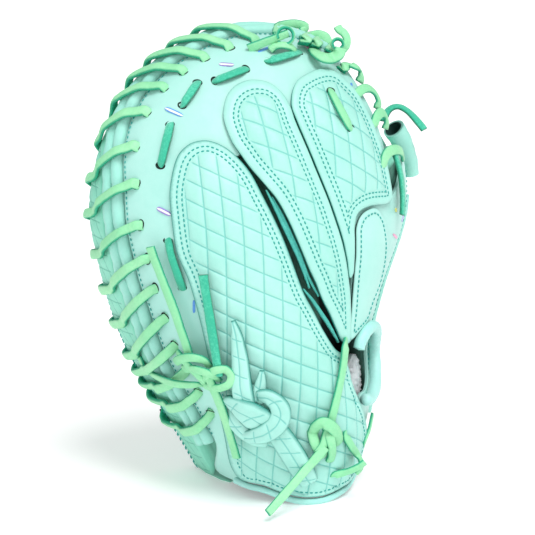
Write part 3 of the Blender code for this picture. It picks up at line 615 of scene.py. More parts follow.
def leather(
    name, colour, shade, rough=0.45, grain=900.0, bump=0.25, suede=None, groove_shade=None, groove_bump=0.6,
    mottled=0.0, stretch=(1, 1, 1), sheen=0.0, coat=0.0, pores=0.35,
):
    """Dyed leather: colour drifts towards shade, a pebbled grain in bump and roughness, suede where the vertex
    attribute "kind" is 1 (a near-black suede colour is painted shade), and grooves, darkened with painted shade, where
    the attribute "lattice" has whole numbers."""
    mat, tree, shader = nodes_of(name)
    new, link = tree.nodes.new, tree.links.new

    def value(kind, **inputs):
        node = new(kind)
        for key, given in inputs.items():
            key = key.replace("_", " ")
            if hasattr(given, "is_output"):
                link(given, node.inputs[key])
            else:
                node.inputs[key].default_value = given
        return node

    def maths(operation, a, b=0.0, clamp=False):
        node = new("ShaderNodeMath")
        node.operation, node.use_clamp = operation, clamp
        for k, given in enumerate((a, b)):
            if hasattr(given, "is_output"):
                link(given, node.inputs[k])
            else:
                node.inputs[k].default_value = given
        return node.outputs[0]

    def mix(factor, a, b):
        node = new("ShaderNodeMix")
        node.data_type = "RGBA"
        for key, given in ((0, factor), (6, a), (7, b)):
            if hasattr(given, "is_output"):
                link(given, node.inputs[key])
            elif key == 0:
                node.inputs[0].default_value = given
            else:
                node.inputs[key].default_value = (*given, 1)
        return node.outputs[2]

    def ramp(source, low, high):
        node = new("ShaderNodeMapRange")
        node.inputs["From Min"].default_value, node.inputs["From Max"].default_value = low, high
        link(source, node.inputs["Value"])
        return node.outputs[0]

    where = new("ShaderNodeTexCoord").outputs["Object"]
    place = new("ShaderNodeMapping")
    place.inputs["Scale"].default_value = stretch
    link(where, place.inputs["Vector"])
    spot_of = place.outputs[0]
    broad = value("ShaderNodeTexNoise", Vector=where, Scale=22.0, Detail=4.0, Roughness=0.6)
    fine = value("ShaderNodeTexNoise", Vector=spot_of, Scale=grain * 0.35, Detail=5.0, Roughness=0.65)
    cells = value("ShaderNodeTexVoronoi", Vector=spot_of, Scale=grain)
    cells.feature = "DISTANCE_TO_EDGE"
    drift = maths("ADD", ramp(broad.outputs["Fac"], 0.38, 0.68), maths(
        "MULTIPLY", ramp(fine.outputs["Fac"], 0.4, 0.62), 0.25 + mottled), True)
    tone = mix(maths("MULTIPLY", drift, 0.55 + 0.4 * mottled), colour, shade)
    pebble = ramp(cells.outputs["Distance"], 0.0, 0.22)
    height = maths("ADD", maths("MULTIPLY", pebble, pores), maths("MULTIPLY", fine.outputs["Fac"], 0.9))
    tone = mix(maths("MULTIPLY", maths("SUBTRACT", 1.0, pebble), 0.16), tone, shade)
    roughness = maths("ADD", maths("MULTIPLY", fine.outputs["Fac"], 0.22), rough - 0.11, True)
    if groove_shade:
        attribute = new("ShaderNodeAttribute")
        attribute.attribute_name = "lattice"
        split = new("ShaderNodeSeparateXYZ")
        link(attribute.outputs["Vector"], split.inputs[0])
        near = []
        for k in (0, 1):
            f = maths("FRACT", split.outputs[k])
            away = maths("SUBTRACT", 0.5, maths("ABSOLUTE", maths("SUBTRACT", f, 0.5)))
            near.append(ramp(away, 0.012, 0.062))
        flat = maths("MULTIPLY", near[0], near[1])
        cut = maths("MULTIPLY", maths("SUBTRACT", 1.0, flat), split.outputs[2])
        # painted shade: inside the lattice's grooves the colour darkens towards the groove colour
        tone = mix(maths("MULTIPLY", cut, 0.65), tone, groove_shade)
        height = maths("SUBTRACT", height, maths("MULTIPLY", cut, groove_bump * 3))
    if suede:
        attribute = new("ShaderNodeAttribute")
        attribute.attribute_name = "kind"
        nap = value("ShaderNodeTexNoise", Vector=where, Scale=1500.0, Detail=6.0, Roughness=0.8)
        kind = attribute.outputs["Fac"]
        raw = mix(ramp(nap.outputs["Fac"], 0.35, 0.65), suede, tuple(0.45 * c for c in suede))
        tone = mix(maths("MULTIPLY", kind, 1.0, True), tone, raw)
        roughness = maths("MAXIMUM", roughness, maths("MULTIPLY", kind, 0.85, True))
        height = maths("ADD", height, maths("MULTIPLY", maths("MULTIPLY", nap.outputs["Fac"], kind), 0.8))
    link(tone, shader.inputs["Base Color"])
    link(roughness, shader.inputs["Roughness"])
    lumps = new("ShaderNodeBump")
    lumps.inputs["Strength"].default_value = bump
    lumps.inputs["Distance"].default_value = 0.0004
    link(height, lumps.inputs["Height"])
    link(lumps.outputs[0], shader.inputs["Normal"])
    shader.inputs["Sheen Weight"].default_value = sheen
    shader.inputs["Sheen Roughness"].default_value = 0.5
    shader.inputs["Coat Weight"].default_value = coat
    shader.inputs["Coat Roughness"].default_value = 0.35
    shader.inputs["Specular IOR Level"].default_value = 0.42
    return mat


# SHELL's near-black suede colour is painted shade on the undersides and cut sides of the shell and the thumb patch
SHELL = leather("mint smooth leather", (0.445, 0.79, 0.715), (0.335, 0.72, 0.635), 0.42, 700, 0.12,
                suede=(0.012, 0.055, 0.045), coat=0.10, pores=0.25)
# the groove colours of EMBOSSED and PALM are painted shade in the embossed lattice's grooves
EMBOSSED = leather("mint embossed leather", (0.405, 0.77, 0.685), (0.29, 0.69, 0.59), 0.44, 1000, 0.30,
                   suede=(0.035, 0.40, 0.33), groove_shade=(0.09, 0.48, 0.43), groove_bump=1.0, coat=0.08)
# PALM's near-black suede colour is painted shade on the pad's lining and on the bed between the welts
PALM = leather("green palm leather", (0.28, 0.75, 0.58), (0.18, 0.62, 0.45), 0.50, 1000, 0.30,
               suede=(0.006, 0.022, 0.018), groove_shade=(0.06, 0.40, 0.29), groove_bump=1.0)
# WELT's near-black suede colour is painted shade on the inner wall of the hollow thumb roll
WELT = leather("welt leather", (0.38, 0.78, 0.68), (0.25, 0.68, 0.56), 0.44, 1100, 0.30,
               suede=(0.010, 0.07, 0.055), pores=0.5)
LACE = leather("lace leather", (0.36, 0.80, 0.46), (0.22, 0.70, 0.36), 0.46, 1500, 0.40,
               suede=(0.008, 0.52, 0.30), mottled=0.25, pores=0.5)
SUEDE = leather("lace suede", (0.110, 0.68, 0.46), (0.015, 0.44, 0.27), 0.80, 1600, 0.6,
                suede=(0.006, 0.30, 0.17), mottled=0.6, sheen=0.3)
# dark teal for the slit's folds: painted shade in the slit between the panels
SLIT_SHADE = leather("slit fold leather darkened as painted shade", (0.10, 0.56, 0.47), (0.035, 0.34, 0.29), 0.7, 1500, 0.5, mottled=0.4)
EDGING = leather("binding leather", (0.43, 0.81, 0.75), (0.31, 0.73, 0.65), 0.42, 1100, 0.30,
                 suede=(0.03, 0.35, 0.26), coat=0.1, pores=0.5)
THREAD = leather("teal thread", (0.010, 0.40, 0.36), (0.005, 0.27, 0.24), 0.55, 4000, 0.4, sheen=0.3)
# near black for the lace holes: painted shade inside them
HOLE_SHADE = leather("painted shade in lace holes", (0.006, 0.020, 0.017), (0.003, 0.008, 0.007), 0.9, 1500, 0.4)
FLEECE = leather("white fleece", (0.90, 0.93, 0.95), (0.70, 0.76, 0.80), 0.95, 1400, 1.0, mottled=0.4, sheen=0.6)
INKS = {
    "white": (0.93, 0.96, 0.97), "blue": (0.12, 0.36, 0.86), "purple": (0.36, 0.22, 0.72),
    "pink": (0.90, 0.42, 0.62), "yellow": (0.92, 0.82, 0.22), "lilac": (0.60, 0.50, 0.86),
}
INK = {
    name: leather("print " + name, colour, tuple(0.82 * c for c in colour), 0.4, 900, 0.10)
    for name, colour in INKS.items()
}


# ------------------------------------------------------------------ laces placed by what the picture shows
def trail(marks, step=1.1):
    """A path through (px, py, lift) marks on the back skin, with the skin's normal at each point."""
    eye = AIM + BACKWARD * FAR
    met = [k for k, (px, py, lift) in enumerate(marks) if seen(px, py)]
    both = []
    for k, (px, py, lift) in enumerate(marks):
        nearest = min(met, key=lambda m: abs(m - k)) if met else k
        p, n = spot(*marks[nearest])
        if nearest != k:  # past the outline of the leather: as deep as the nearest mark on it, and leaning out
            far = float(np.dot(p - eye, -BACKWARD)) - 0.5
            p = eye + (-BACKWARD + RIGHT * ((px - 267.5) / FOCAL) + UP * ((267.5 - py) / FOCAL)) * far
        p[1] = min(p[1], 62.0)
        both.append(np.concatenate([p, n * 20]))
    both = smooth_path(both, step)
    return both[:, :3], both[:, 3:]


def over(marks, step=1.1):
    """The same through (x, z, lift) marks."""
    marks = np.array(marks, float)
    both = np.concatenate([skin(marks[:, 0], marks[:, 1], marks[:, 2]), skin_normal(marks[:, 0], marks[:, 1]) * 20], 1)
    both = smooth_path(both, step)
    return both[:, :3], both[:, 3:]


def round_rim(marks, step=1.1):
    """The same through (degrees, run, lift) marks on the rim."""
    marks = np.array(marks, float)
    both = np.concatenate([rim(*marks.T), rim_normal(marks[:, 0], marks[:, 1]) * 20], 1)
    both = smooth_path(both, step)
    return both[:, :3], both[:, 3:]


def dashes(path, normals, dash=2.1, gap=1.1, radius=0.54, closed=False):
    """Short stitches along a path, as one mesh."""
    along = np.concatenate([[0], np.cumsum(np.linalg.norm(np.diff(path, axis=0), axis=1))])
    at = np.arange(0.6, along[-1] - dash * 0.5, dash + gap) + dash / 2
    if not len(at):
        return np.zeros((0, 3)), np.zeros((0, 3), int), np.zeros(0)
    centre = np.stack([np.interp(at, along, path[:, k]) for k in range(3)], -1)
    n = np.stack([np.interp(at, along, normals[:, k]) for k in range(3)], -1)
    t = np.stack([np.interp(at, along, tangents(path)[:, k]) for k in range(3)], -1)
    t /= np.linalg.norm(t, axis=1, keepdims=True)
    n = n - t * (n * t).sum(1, keepdims=True)
    n /= np.linalg.norm(n, axis=1, keepdims=True)
    s = np.cross(t, n)
    rings = [(-1.0, 0.0)] + [(x, r) for x, r in ((-0.8, 0.75), (-0.3, 1.0), (0.3, 1.0), (0.8, 0.75))] + [(1.0, 0.0)]
    sides = 6
    shape = [(-1.0, 0.0, 0.0)]
    for x, r in rings[1:-1]:
        shape += [(x, r * math.cos(a), r * math.sin(a)) for a in np.arange(sides) * 2 * math.pi / sides]
    shape = np.array(shape + [(1.0, 0.0, 0.0)])
    faces = [(0, 1 + (k + 1) % sides, 1 + k) for k in range(sides)]
    for ring in range(3):
        a = 1 + ring * sides
        for k in range(sides):
            m = (k + 1) % sides
            faces += [(a + k, a + m, a + sides + m), (a + k, a + sides + m, a + sides + k)]
    last = len(shape) - 1
    faces += [(last, last - sides + k, last - sides + (k + 1) % sides) for k in range(sides)]
    faces = np.array(faces)
    points = centre[:, None] + t[:, None] * shape[None, :, :1] * dash / 2 \
        + s[:, None] * shape[None, :, 1:2] * radius + n[:, None] * shape[None, :, 2:3] * radius * 0.8
    all_faces = faces[None] + (np.arange(len(at)) * len(shape))[:, None, None]
    return points.reshape(-1, 3), all_faces.reshape(-1, 3), np.zeros(len(at) * len(shape))


def inset(outline, depth):
    """The parts of a closed outline moved inwards by depth, as open or closed runs of points."""
    outline = np.asarray(outline, float)
    area = 0.5 * np.sum(outline[:, 0] * np.roll(outline[:, 1], -1) - np.roll(outline[:, 0], -1) * outline[:, 1])
    t = np.roll(outline, -1, 0) - np.roll(outline, 1, 0)
    n = np.stack([-t[:, 1], t[:, 0]], -1) / np.maximum(np.linalg.norm(t, axis=1, keepdims=True), 1e-9)
    moved = outline + n * depth * (1 if area > 0 else -1)
    good = np.abs(edge_distance(moved, outline)[0] - depth) < 0.1 * depth
    if good.all():
        return [np.concatenate([moved, moved[:1]])]
    start = int(np.argmin(good))
    order = np.roll(np.arange(len(good)), -start)
    runs, now = [], []
    for k in order:
        if good[k]:
            now.append(moved[k])
        elif now:
            runs.append(np.array(now))
            now = []
    if now:
        runs.append(np.array(now))
    joined = []
    for part in runs:
        if joined and np.linalg.norm(joined[-1][-1] - part[0]) < 4.5:
            joined[-1] = np.concatenate([joined[-1], part])
        else:
            joined.append(part)
    return [part for part in joined if len(part) > 3]


def band(path, normals, widths, thick, cup=0.0, seed=0, across=9, lattice=True):
    """A wide soft strap of embossed leather: points, faces, kind and lattice coordinates."""
    n = len(path)
    side, up, t = frames(path, normals)
    along = np.concatenate([[0], np.cumsum(np.linalg.norm(np.diff(path, axis=0), axis=1))])
    widths = np.interp(np.linspace(0, 1, n), np.linspace(0, 1, len(widths)), widths)
    w = np.linspace(-0.5, 0.5, across)
    crown = 0.5 + 0.35 * (1 - (2 * w) ** 4)
    ww = np.concatenate([w, w[::-1]])
    hh = np.concatenate([crown, -0.5 * np.ones(across)])
    kind = np.concatenate([np.zeros(across), np.ones(across)])
    kind[0] = kind[across - 1] = 0.6
    m = 2 * across
    p = path[:, None] + side[:, None] * (widths[:, None] * ww)[..., None] \
        + up[:, None] * (thick * hh + cup * (0.25 - ww**2))[None, :, None]
    p = p + up[:, None] * (value_noise(p, 5.0, seed) * 0.35)[..., None]
    u = (widths[:, None] * ww) / LATTICE_X
    v = (along[:, None] + 0.46 * widths[:, None] * ww) / LATTICE_Z
    mask = np.where(np.abs(ww) < 0.36, 1.0, 0.0) * np.where(kind < 0.5, 1.0, 0.0) * np.ones((n, 1))
    coordinates = np.stack([u, v, mask * (1.0 if lattice else 0.0)], -1).reshape(-1, 3)
    if lattice:
        lift = (pillow_soft(u, v) - 0.5) * 0.5 * mask
        p = p + up[:, None] * lift[..., None]
    points = p.reshape(-1, 3)
    faces = grid_faces(n, m, wrap_columns=True)
    points = np.concatenate([points, p[0].mean(0)[None], p[-1].mean(0)[None]])
    j = np.arange(m)
    faces = np.concatenate([
        faces, np.stack([np.full(m, n * m), j, (j + 1) % m], -1),
        np.stack([np.full(m, n * m + 1), (n - 1) * m + (j + 1) % m, (n - 1) * m + j], -1)])
    kinds = np.concatenate([np.tile(kind, n), [1, 1]])
    coordinates = np.concatenate([coordinates, np.zeros((2, 3))])
    return points, faces[:, ::-1], kinds, coordinates


def pillow_soft(u, v):
    a, b = 2 * np.abs(u - np.floor(u) - 0.5), 2 * np.abs(v - np.floor(v) - 0.5)
    return (1 - a**5) * (1 - b**5)


def pit(centre, normal, along, length, width, dark=HOLE_SHADE):
    """A lace hole: a shallow dish whose lip stands a little off the leather, coloured near black as painted shade."""
    t = along - normal * np.dot(along, normal)
    t = t / max(np.linalg.norm(t), 1e-9)
    s = np.cross(t, normal)
    rings, sides = ((1.0, 0.05), (0.9, 0.30), (0.66, 0.22), (0.35, 0.12)), 18
    a = np.arange(sides) * 2 * math.pi / sides
    points = []
    for share, high in rings:
        points.append(
            centre + t * (np.cos(a) * length * 0.5 * share)[:, None] + s * (np.sin(a) * width * 0.5 * share)[:, None]
            + normal * high)
    points = np.concatenate(points + [centre[None] + normal * 0.1])
    faces = [grid_faces(4, sides, wrap_columns=True)]
    j = np.arange(sides)
    faces.append(np.stack([3 * sides + j, np.full(sides, 4 * sides), 3 * sides + (j + 1) % sides], -1))
    return points, np.concatenate(faces)[:, ::-1], np.zeros(4 * sides + 1)


# ------------------------------------------------------------------ the padded palm
def pad_radius(degrees):
    part = 1 - ease((np.abs(degrees - NOTCH_AT) - NOTCH_HALF * 0.45) / (NOTCH_HALF * 0.55))
    return reach(np.radians(degrees)) * (1 - NOTCH_DEEP * part), part


def hand_floor(x, z):
    thumb = ease((x - 36) / 34) * ease((200 - z) / 30)
    return 22 - 22 * ease(z / 110) + 5 * ease((z - 150) / 90) + 26 * thumb


def cavity_y(x, z):
    sx, sz = slopes(x, z)
    under = back_y(x, z) + np.minimum(4.8 * np.sqrt(1 + sx * sx + sz * sz), 18.0)
    d = edge_distance(np.stack([x, z], -1), HAND)[0]
    return np.minimum(under + np.maximum(0.0, hand_floor(x, z) - under) * ease((d + 2) / 12), 46.0)


def build_pad():
    """One fine mesh over the five sectors of the padded palm: lining, welt bed, embossed rim and pocket."""
    columns, masks, kinds = [], [], []
    for degrees in np.arange(-72.0, 288.0, 1.25):
        theta = math.radians(degrees)
        c, s = math.cos(theta), math.sin(theta)
        edge, notch = (float(v) for v in pad_radius(degrees))
        welted = notch < 0.02 and (degrees > 60 or degrees < 26) and -70 < degrees < 259
        if welted:
            inner = rim(degrees, -9, -4.4)
            stop = math.hypot(inner[0] - CX, inner[2] - CZ)
            f = np.array((0.06, 0.10, 0.16, 0.22, 0.28, 0.34, 0.40, 0.45, 0.50, 0.55, 0.60, 0.64, 0.68, 0.72, 0.755,
                          0.79, 0.82, 0.85, 0.875, 0.90, 0.925, 0.95, 0.975))
            r = stop * f
            y = cavity_y(CX + r * c, CZ + r * s)
            runs = np.array((-9, -4, 0.6, 6, 12, 18, 23.2, 24.4, 25.2, 27, 29, 31, 33, 35.5, 38, 40.5, 43, 45.5, 48,
                             50.5, 53, 55, 57, 60.0))
            lifts = np.interp(runs, (-9, 0.6, 23.2, 25.2), (-4.4, -7.4, -7.4, -0.4))
            lifts[runs > 26] = 0.0
            p = rim(np.full(len(runs), degrees), runs, lifts)
            r = np.concatenate([r, np.hypot(p[:, 0] - CX, p[:, 2] - CZ)])
            y = np.concatenate([y, p[:, 1]])
        else:
            square = 1.0 if notch > 0 else float(np.interp(degrees, DEGREES, SQUARE))
            f = np.array((0.06, 0.10, 0.16, 0.22, 0.28, 0.34, 0.40, 0.45, 0.50, 0.55, 0.60, 0.64, 0.68, 0.72, 0.755,
                          0.79, 0.82, 0.85, 0.88, 0.91, 0.935, 0.96, 0.98, 1.0))
            r = edge * f
            y = cavity_y(CX + r * c, CZ + r * s)
            up = y[-1] + (56 - y[-1]) * np.arange(1, 11) / 10
            e = np.array((0.5, 1.5, 3, 5, 7.5, 10, 12, 15, 18, 21, 24, 27, 30.0))
            back = edge - e / square
            r = np.concatenate([r, np.full(10, edge), back])
            y = np.concatenate([y, up, front_y(e, CX + back * c, CZ + back * s)])
        inner = r[-1] * np.linspace(0.97, 0.05, 26)
        r = np.concatenate([r, inner])
        y = np.concatenate([y, front_y(34, CX + inner * c, CZ + inner * s)])
        z = CZ + r * s
        keep = np.maximum(z, 0.0)
        columns.append(np.stack([CX + r * c, y, keep], -1))
        k = np.arange(len(r))
        # painted shade: kind 1 colours the lining inside the hand space near black, and kind 0.8 the bed between the
        # welts
        kinds.append(np.where(k < 23, 1.0, np.where(k < 30, 0.8, 0.0) if welted else 0.0))
    count = min(len(c) for c in columns)
    points = np.array([c[:count] for c in columns])
    kinds = np.array([k[:count] for k in kinds])
    rows, cols = points.shape[:2]
    # every surface beyond the welts gets the lattice: round the rim by length, and flat in the pocket
    degrees = np.arange(-72.0, 288.0, 1.25)
    edge = reach(np.radians(degrees))
    around = np.concatenate([[0], np.cumsum(np.hypot(
        np.diff(edge * np.cos(np.radians(degrees))), np.diff(edge * np.sin(np.radians(degrees)))))])
    along = np.concatenate([np.zeros((rows, 1)), np.cumsum(np.linalg.norm(np.diff(points, axis=1), axis=2), 1)], 1)
    along = along - along[:, 31:32]
    u, v = around[:, None] / 11.0 * np.ones((1, cols)), (along + 0.0 * around[:, None]) / 12.0
    v = v + 0.46 * u * 11.0 / 12.0
    x, z = points[..., 0], points[..., 2]
    fu, fv = lattice_at(x, z)
    k = np.arange(cols)[None, :] * np.ones((rows, 1))
    front = k > 47
    u, v = np.where(front, fu, u), np.where(front, fv, v)
    mask = np.where((k > 33) & (k < 44), 1.0, 0.0) + np.where(k > 49, 1.0, 0.0)
    lift = (pillow_soft(u, v) - 0.6) * 0.55 * mask + value_noise(points, 26, 3) * 0.5 * (k > 33)
    lift -= 0.8 * np.exp(-((k - 46.5) / 1.1) ** 2) * 1.0  # the seam between rim and pocket
    du, dv = np.gradient(points, axis=0), np.gradient(points, axis=1)
    n = np.cross(du, dv)
    n /= np.maximum(np.linalg.norm(n, axis=-1, keepdims=True), 1e-9)
    outward = n[rows // 2, 50]
    if outward[1] < 0:
        n = -n
    points = points + n * np.where(k > 30, lift, 0.0)[..., None]
    points[..., 2] = np.maximum(points[..., 2], 0.0)
    # painted shade: darkest where the opening beside the thumb shows the inside, 0.55 as dark elsewhere
    inside_shade_zone = (x > 36) & (z < 125)
    shade = kinds * np.where(inside_shade_zone, 1.0, 0.55)
    flat = points.reshape(-1, 3)
    faces = grid_faces(rows, cols, wrap_rows=True)
    first, last = points[:, 0].mean(0), points[:, -1].mean(0)
    at = len(flat)
    flat = np.concatenate([flat, first[None], last[None]])
    j = np.arange(rows)
    faces = np.concatenate([
        faces, np.stack([np.full(rows, at), ((j + 1) % rows) * cols, j * cols], -1)[:, ::-1],
        np.stack([np.full(rows, at + 1), j * cols + cols - 1, ((j + 1) % rows) * cols + cols - 1], -1)[:, ::-1]])
    coordinates = np.stack([u, v, mask], -1)
    coordinates = np.concatenate([coordinates.reshape(-1, 3), np.zeros((1, 3)), coordinates[:, -1].mean(0)[None]])
    shade = np.concatenate([shade.reshape(-1), [0.55, 0]])
    # turn all faces outwards by the sign of the closed volume
    t = flat[faces]
    if np.einsum("ij,ij->i", t[:, 0], np.cross(t[:, 1], t[:, 2])).sum() < 0:
        faces = faces[:, ::-1]
    pad = make("pad_leather", flat, faces, PALM, [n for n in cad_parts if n.startswith("palm_pad_")],
               coordinates, shade)
    parts = []
    for low, high in ((-60, 22), (64, 259)):
        d = np.arange(low, high, 0.5)
        for run in (55.4, 58.4):
            parts.append(dashes(rim(d, run, 0.05), rim_normal(d, run), 2.4, 1.4, 0.45))
    p, f, k = merge(parts)
    make("pad_stitching", p, f, THREAD)
    return pad


pad = build_pad()


# ------------------------------------------------------------------ smooth back leather
def rim_outline(first, last, step, run):
    d = np.arange(first, last + (0.01 if step > 0 else -0.01), step)
    p = rim(d, run)
    return [(q[0], max(q[2], 8.5)) for q in p]


def shell_place(x, z, lift):
    return skin(x, z, lift)


def build_shell(name, outline, seat, holes=()):
    line = smooth_path(outline, 2.2, closed=True)
    flat, tri = triangulated(line, 2.6, rings=(0.7,))
    d, _ = edge_distance(flat, line)
    base = skin(flat[:, 0], flat[:, 1])
    top = 0.05 - 0.45 * (1 - ease(d / 1.2)) + 0.20 * value_noise(base, 20, 11) + 0.10 * value_noise(base, 7, 5)
    top = top - 0.25 * creases(base, 30, 21, (1, 1, 2.2)) * ease(d / 6)
    p, f, count, used = sheet_mesh(flat, tri, shell_place, top, np.full(len(flat), -2.3), (0.35, 0.75))
    # painted shade: the cut sides take 0.3, and the underside all, of SHELL's near-black suede colour
    kind = np.full(len(p), 0.3)
    kind[:count] = 0
    # the underside
    under = skin(flat[:, 0], flat[:, 1], -2.3)
    index = len(p)
    p = np.concatenate([p, under])
    f = np.concatenate([f, tri[:, ::-1] + index])
    kind = np.concatenate([kind, np.ones(len(under))])
    return make(name, p, f, SHELL, (seat,), kind=kind)


build_shell("shell_back", [(-28.5, 8.5)] + rim_outline(252, 62, -4, 0.4) + [
    (66, 264), (72, 247), (76.5, 227), (78.5, 207), (78.5, 192.5), (70, 193), (69, 199), (68, 214), (63, 236),
    (55, 253), (42, 264), (22, 261), (16, 250), (1.4, 246), (-5, 258.6), (-19, 258), (-27.6, 244), (-28, 226),
    (-34, 224), (-46, 226), (-57, 216), (-62, 196), (-60, 165), (-51, 124), (-42, 84), (-33, 54), (-25, 27),
    (-20, 17), (-20, 8.5)], "back_shell")
build_shell("shell_thumb", rim_outline(26, -60, -4, 0.4) + [
    (54, 6), (51.4, 10), (55.4, 25), (57, 36), (55.6, 44.6), (51.6, 54.6), (53, 65), (60.5, 65), (67.4, 71.5),
    (68.8, 82), (68, 92.5), (65, 102.4), (56.4, 108.8), (47.6, 106.8), (39.8, 101.5), (39, 104), (39.6, 128),
    (40.6, 147), (41.6, 165), (46, 189), (58, 189.4), (79, 190), (88, 197), (96, 206), (103, 212)], "thumb_shell")


# ------------------------------------------------------------------ embossed panels
STITCHES = []


def build_panel(
    name, outline, seat, low, edge, top, rows, turn, raw=0.0, wide=13.0, spacing=1.05, strap=False,
):
    line = smooth_path(outline, 1.1, closed=True)
    flat, tri = triangulated(line, spacing, rings=(0.35, 0.9))
    x, z = flat[:, 0], flat[:, 1]
    u, v = lattice_at(arc(x, z), z, turn)
    d, _ = edge_distance(flat, line)

    def second(p):
        """1 where the panel has both its rows of stitches, and 0 down the strap, where it has one."""
        return ease((p[:, 2] - 92) / 12) if strap else np.ones(len(p))

    def field(p):
        return rows[0] + 0.9 + (rows[-1] - rows[0]) * second(p) if not strap else \
            0.3 + (rows[0] + 0.6) * (0.35 + 0.65 * second(p)) + (rows[-1] - rows[0]) * second(p)

    def lift_at(d, u, v, p):
        lift = edge + (top - edge) * ease((d - 2.0) / (wide + 4)) - 0.9 * (1 - ease(d / 1.3)) ** 2
        for number, row in enumerate(rows):
            lift = lift - 0.42 * np.exp(-(((d - row) / 0.7) ** 2)) * (1 if number == 0 else second(p))
        lift = lift + 0.30 * np.exp(-(((d - rows[0] + 2.4) / 1.2) ** 2))  # the soft ridge outside the stitches
        within = ease((d - field(p)) / 1.0)
        lift = lift + within * (pillow_soft(u, v) * 1.05 - 0.65)
        return lift + 0.22 * value_noise(p, 16, 31) + 0.10 * value_noise(p, 5, 8)

    p = skin(x, z)
    lift = lift_at(d, u, v, p)
    points, faces, count, used = sheet_mesh(
        flat, tri, shell_place, lift, np.full(len(flat), low), (0.3, 0.65))
    kind = np.ones(len(points))
    kind[:count] = np.clip(1 - d / max(raw, 0.4), 0, 1) * (1.0 if raw else 0.5)
    mask = np.zeros(len(points))
    mask[:count] = ease((d - field(p)) / 0.8)
    under = skin(x, z, low)
    index = len(points)
    points = np.concatenate([points, under])
    faces = np.concatenate([faces, tri[:, ::-1] + index])
    kind = np.concatenate([kind, np.ones(len(under))])
    mask = np.concatenate([mask, np.zeros(len(under))])
    uv = np.zeros((len(points), 3))
    uv[:count, 0], uv[:count, 1] = u, v
    uv[:, 2] = mask
    obj = make(name, points, faces, EMBOSSED, (seat,), uv, kind)
    for row in rows:
        for part in inset(line, row):
            fine = smooth_path(part, 0.8)
            fx, fz = fine[:, 0], fine[:, 1]
            fd = np.full(len(fine), row)
            fu, fv = lattice_at(arc(fx, fz), fz, turn)
            q = skin(fx, fz)
            if strap:
                fine_z = 92 if row > rows[0] else -99
                here = fz > fine_z
                if not here.any():
                    continue
                cuts = np.split(np.arange(len(fz)), np.nonzero(np.diff(here.astype(int)))[0] + 1)
            else:
                cuts, here = [np.arange(len(fz))], np.ones(len(fz), bool)
            lifted = skin(fx, fz, lift_at(fd, fu, fv, q) + 0.16)
            along = skin_normal(fx, fz)
            for cut in cuts:
                if len(cut) > 6 and here[cut[0]]:
                    STITCHES.append(dashes(lifted[cut], along[cut]))
    return obj


panel_a = build_panel("panel_little", LITTLE, "finger_panel_little", 1.1, 3.6, 5.5, (3.6, 6.2), 0, raw=1.6,
                      strap=True)
panel_b = build_panel("panel_middle", MIDDLE, "finger_panel_middle", 1.0, 3.4, 6.0, (5.6, 8.2), 3)
panel_c = build_panel("panel_index", INDEX, "finger_panel_index", 1.0, 3.4, 6.0, (5.0, 7.6), -5)


def build_patch():
    line = smooth_path(PATCH, 1.2, closed=True)
    flat, tri = triangulated(line, 1.7, rings=(0.35, 0.9, 2.4, 3.2))
    d, _ = edge_distance(flat, line)
    p = skin(flat[:, 0], flat[:, 1])
    lift = 3.3 - 1.0 * (1 - ease(d / 1.5)) ** 2 - 0.35 * np.exp(-((d - 3.2) / 0.6) ** 2) \
        + 0.2 * value_noise(p, 12, 4) + 0.35 * ease((d - 4) / 8)
    points, faces, count, used = sheet_mesh(flat, tri, shell_place, lift, np.full(len(flat), 1.0), (0.4,))
    # painted shade: the patch's sides and underside take SHELL's near-black suede colour, and its top darkens towards
    # it within half a millimetre of the edge
    kind = np.ones(len(points))
    kind[:count] = 0.5 * (1 - ease(d / 0.5))
    make("patch_leather", points, faces, SHELL, ("thumb_patch",), kind=kind)
    for part in inset(line, 3.2):
        fine = smooth_path(part, 0.8)
        STITCHES.append(dashes(skin(fine[:, 0], fine[:, 1], 3.25), skin_normal(fine[:, 0], fine[:, 1])))


build_patch()

# the rim's own stitch line, beside the outer welt, and the thumb side's
for low, high in ((64, 250), (-56, 22)):
    d = np.arange(low, high, 0.4)
    STITCHES.append(dashes(rim(d, -2.0, 0.30), rim_normal(d, -2.0), 2.0, 1.3, 0.45))
# every row of stitches above, joined into one mesh
p, f, k = merge([s for s in STITCHES if len(s[0])])
make("stitching", p, f, THREAD)


# ------------------------------------------------------------------ welts
def build_welt(name, low, high, run, radius, seat):
    d = np.arange(low, high + 0.01, 0.8)
    path = rim(d, run, -1.4)

    def profile(k, angle):
        at = d[k]
        pinch = sum(0.11 * np.exp(-(((at - h - 3.0) / 1.5) ** 2)) for h in RIM_HOLES)
        ripple = 0.012 * np.sin(at * 9 + 2 * np.sin(at)) + 0.010 * np.sin(at * 17 + 3 * angle)
        return 1 - pinch + ripple

    n = rim_normal(d, run)
    points, faces = tube_mesh(path, radius, 16, normals=n, profile=profile)
    make(name, points, faces, WELT, (seat,), kind=np.zeros(len(points)))


build_welt("welt_roll_outer", 66, 252, 7.2, 4.7, "welt_outer")
build_welt("welt_roll_inner", 66, 252, 17.6, 4.7, "welt_inner")
build_welt("thumb_welt_roll_outer", -60, 12, 7.2, 4.4, "thumb_welt_outer")
build_welt("thumb_welt_roll_inner", -60, 12, 17.6, 4.4, "thumb_welt_inner")


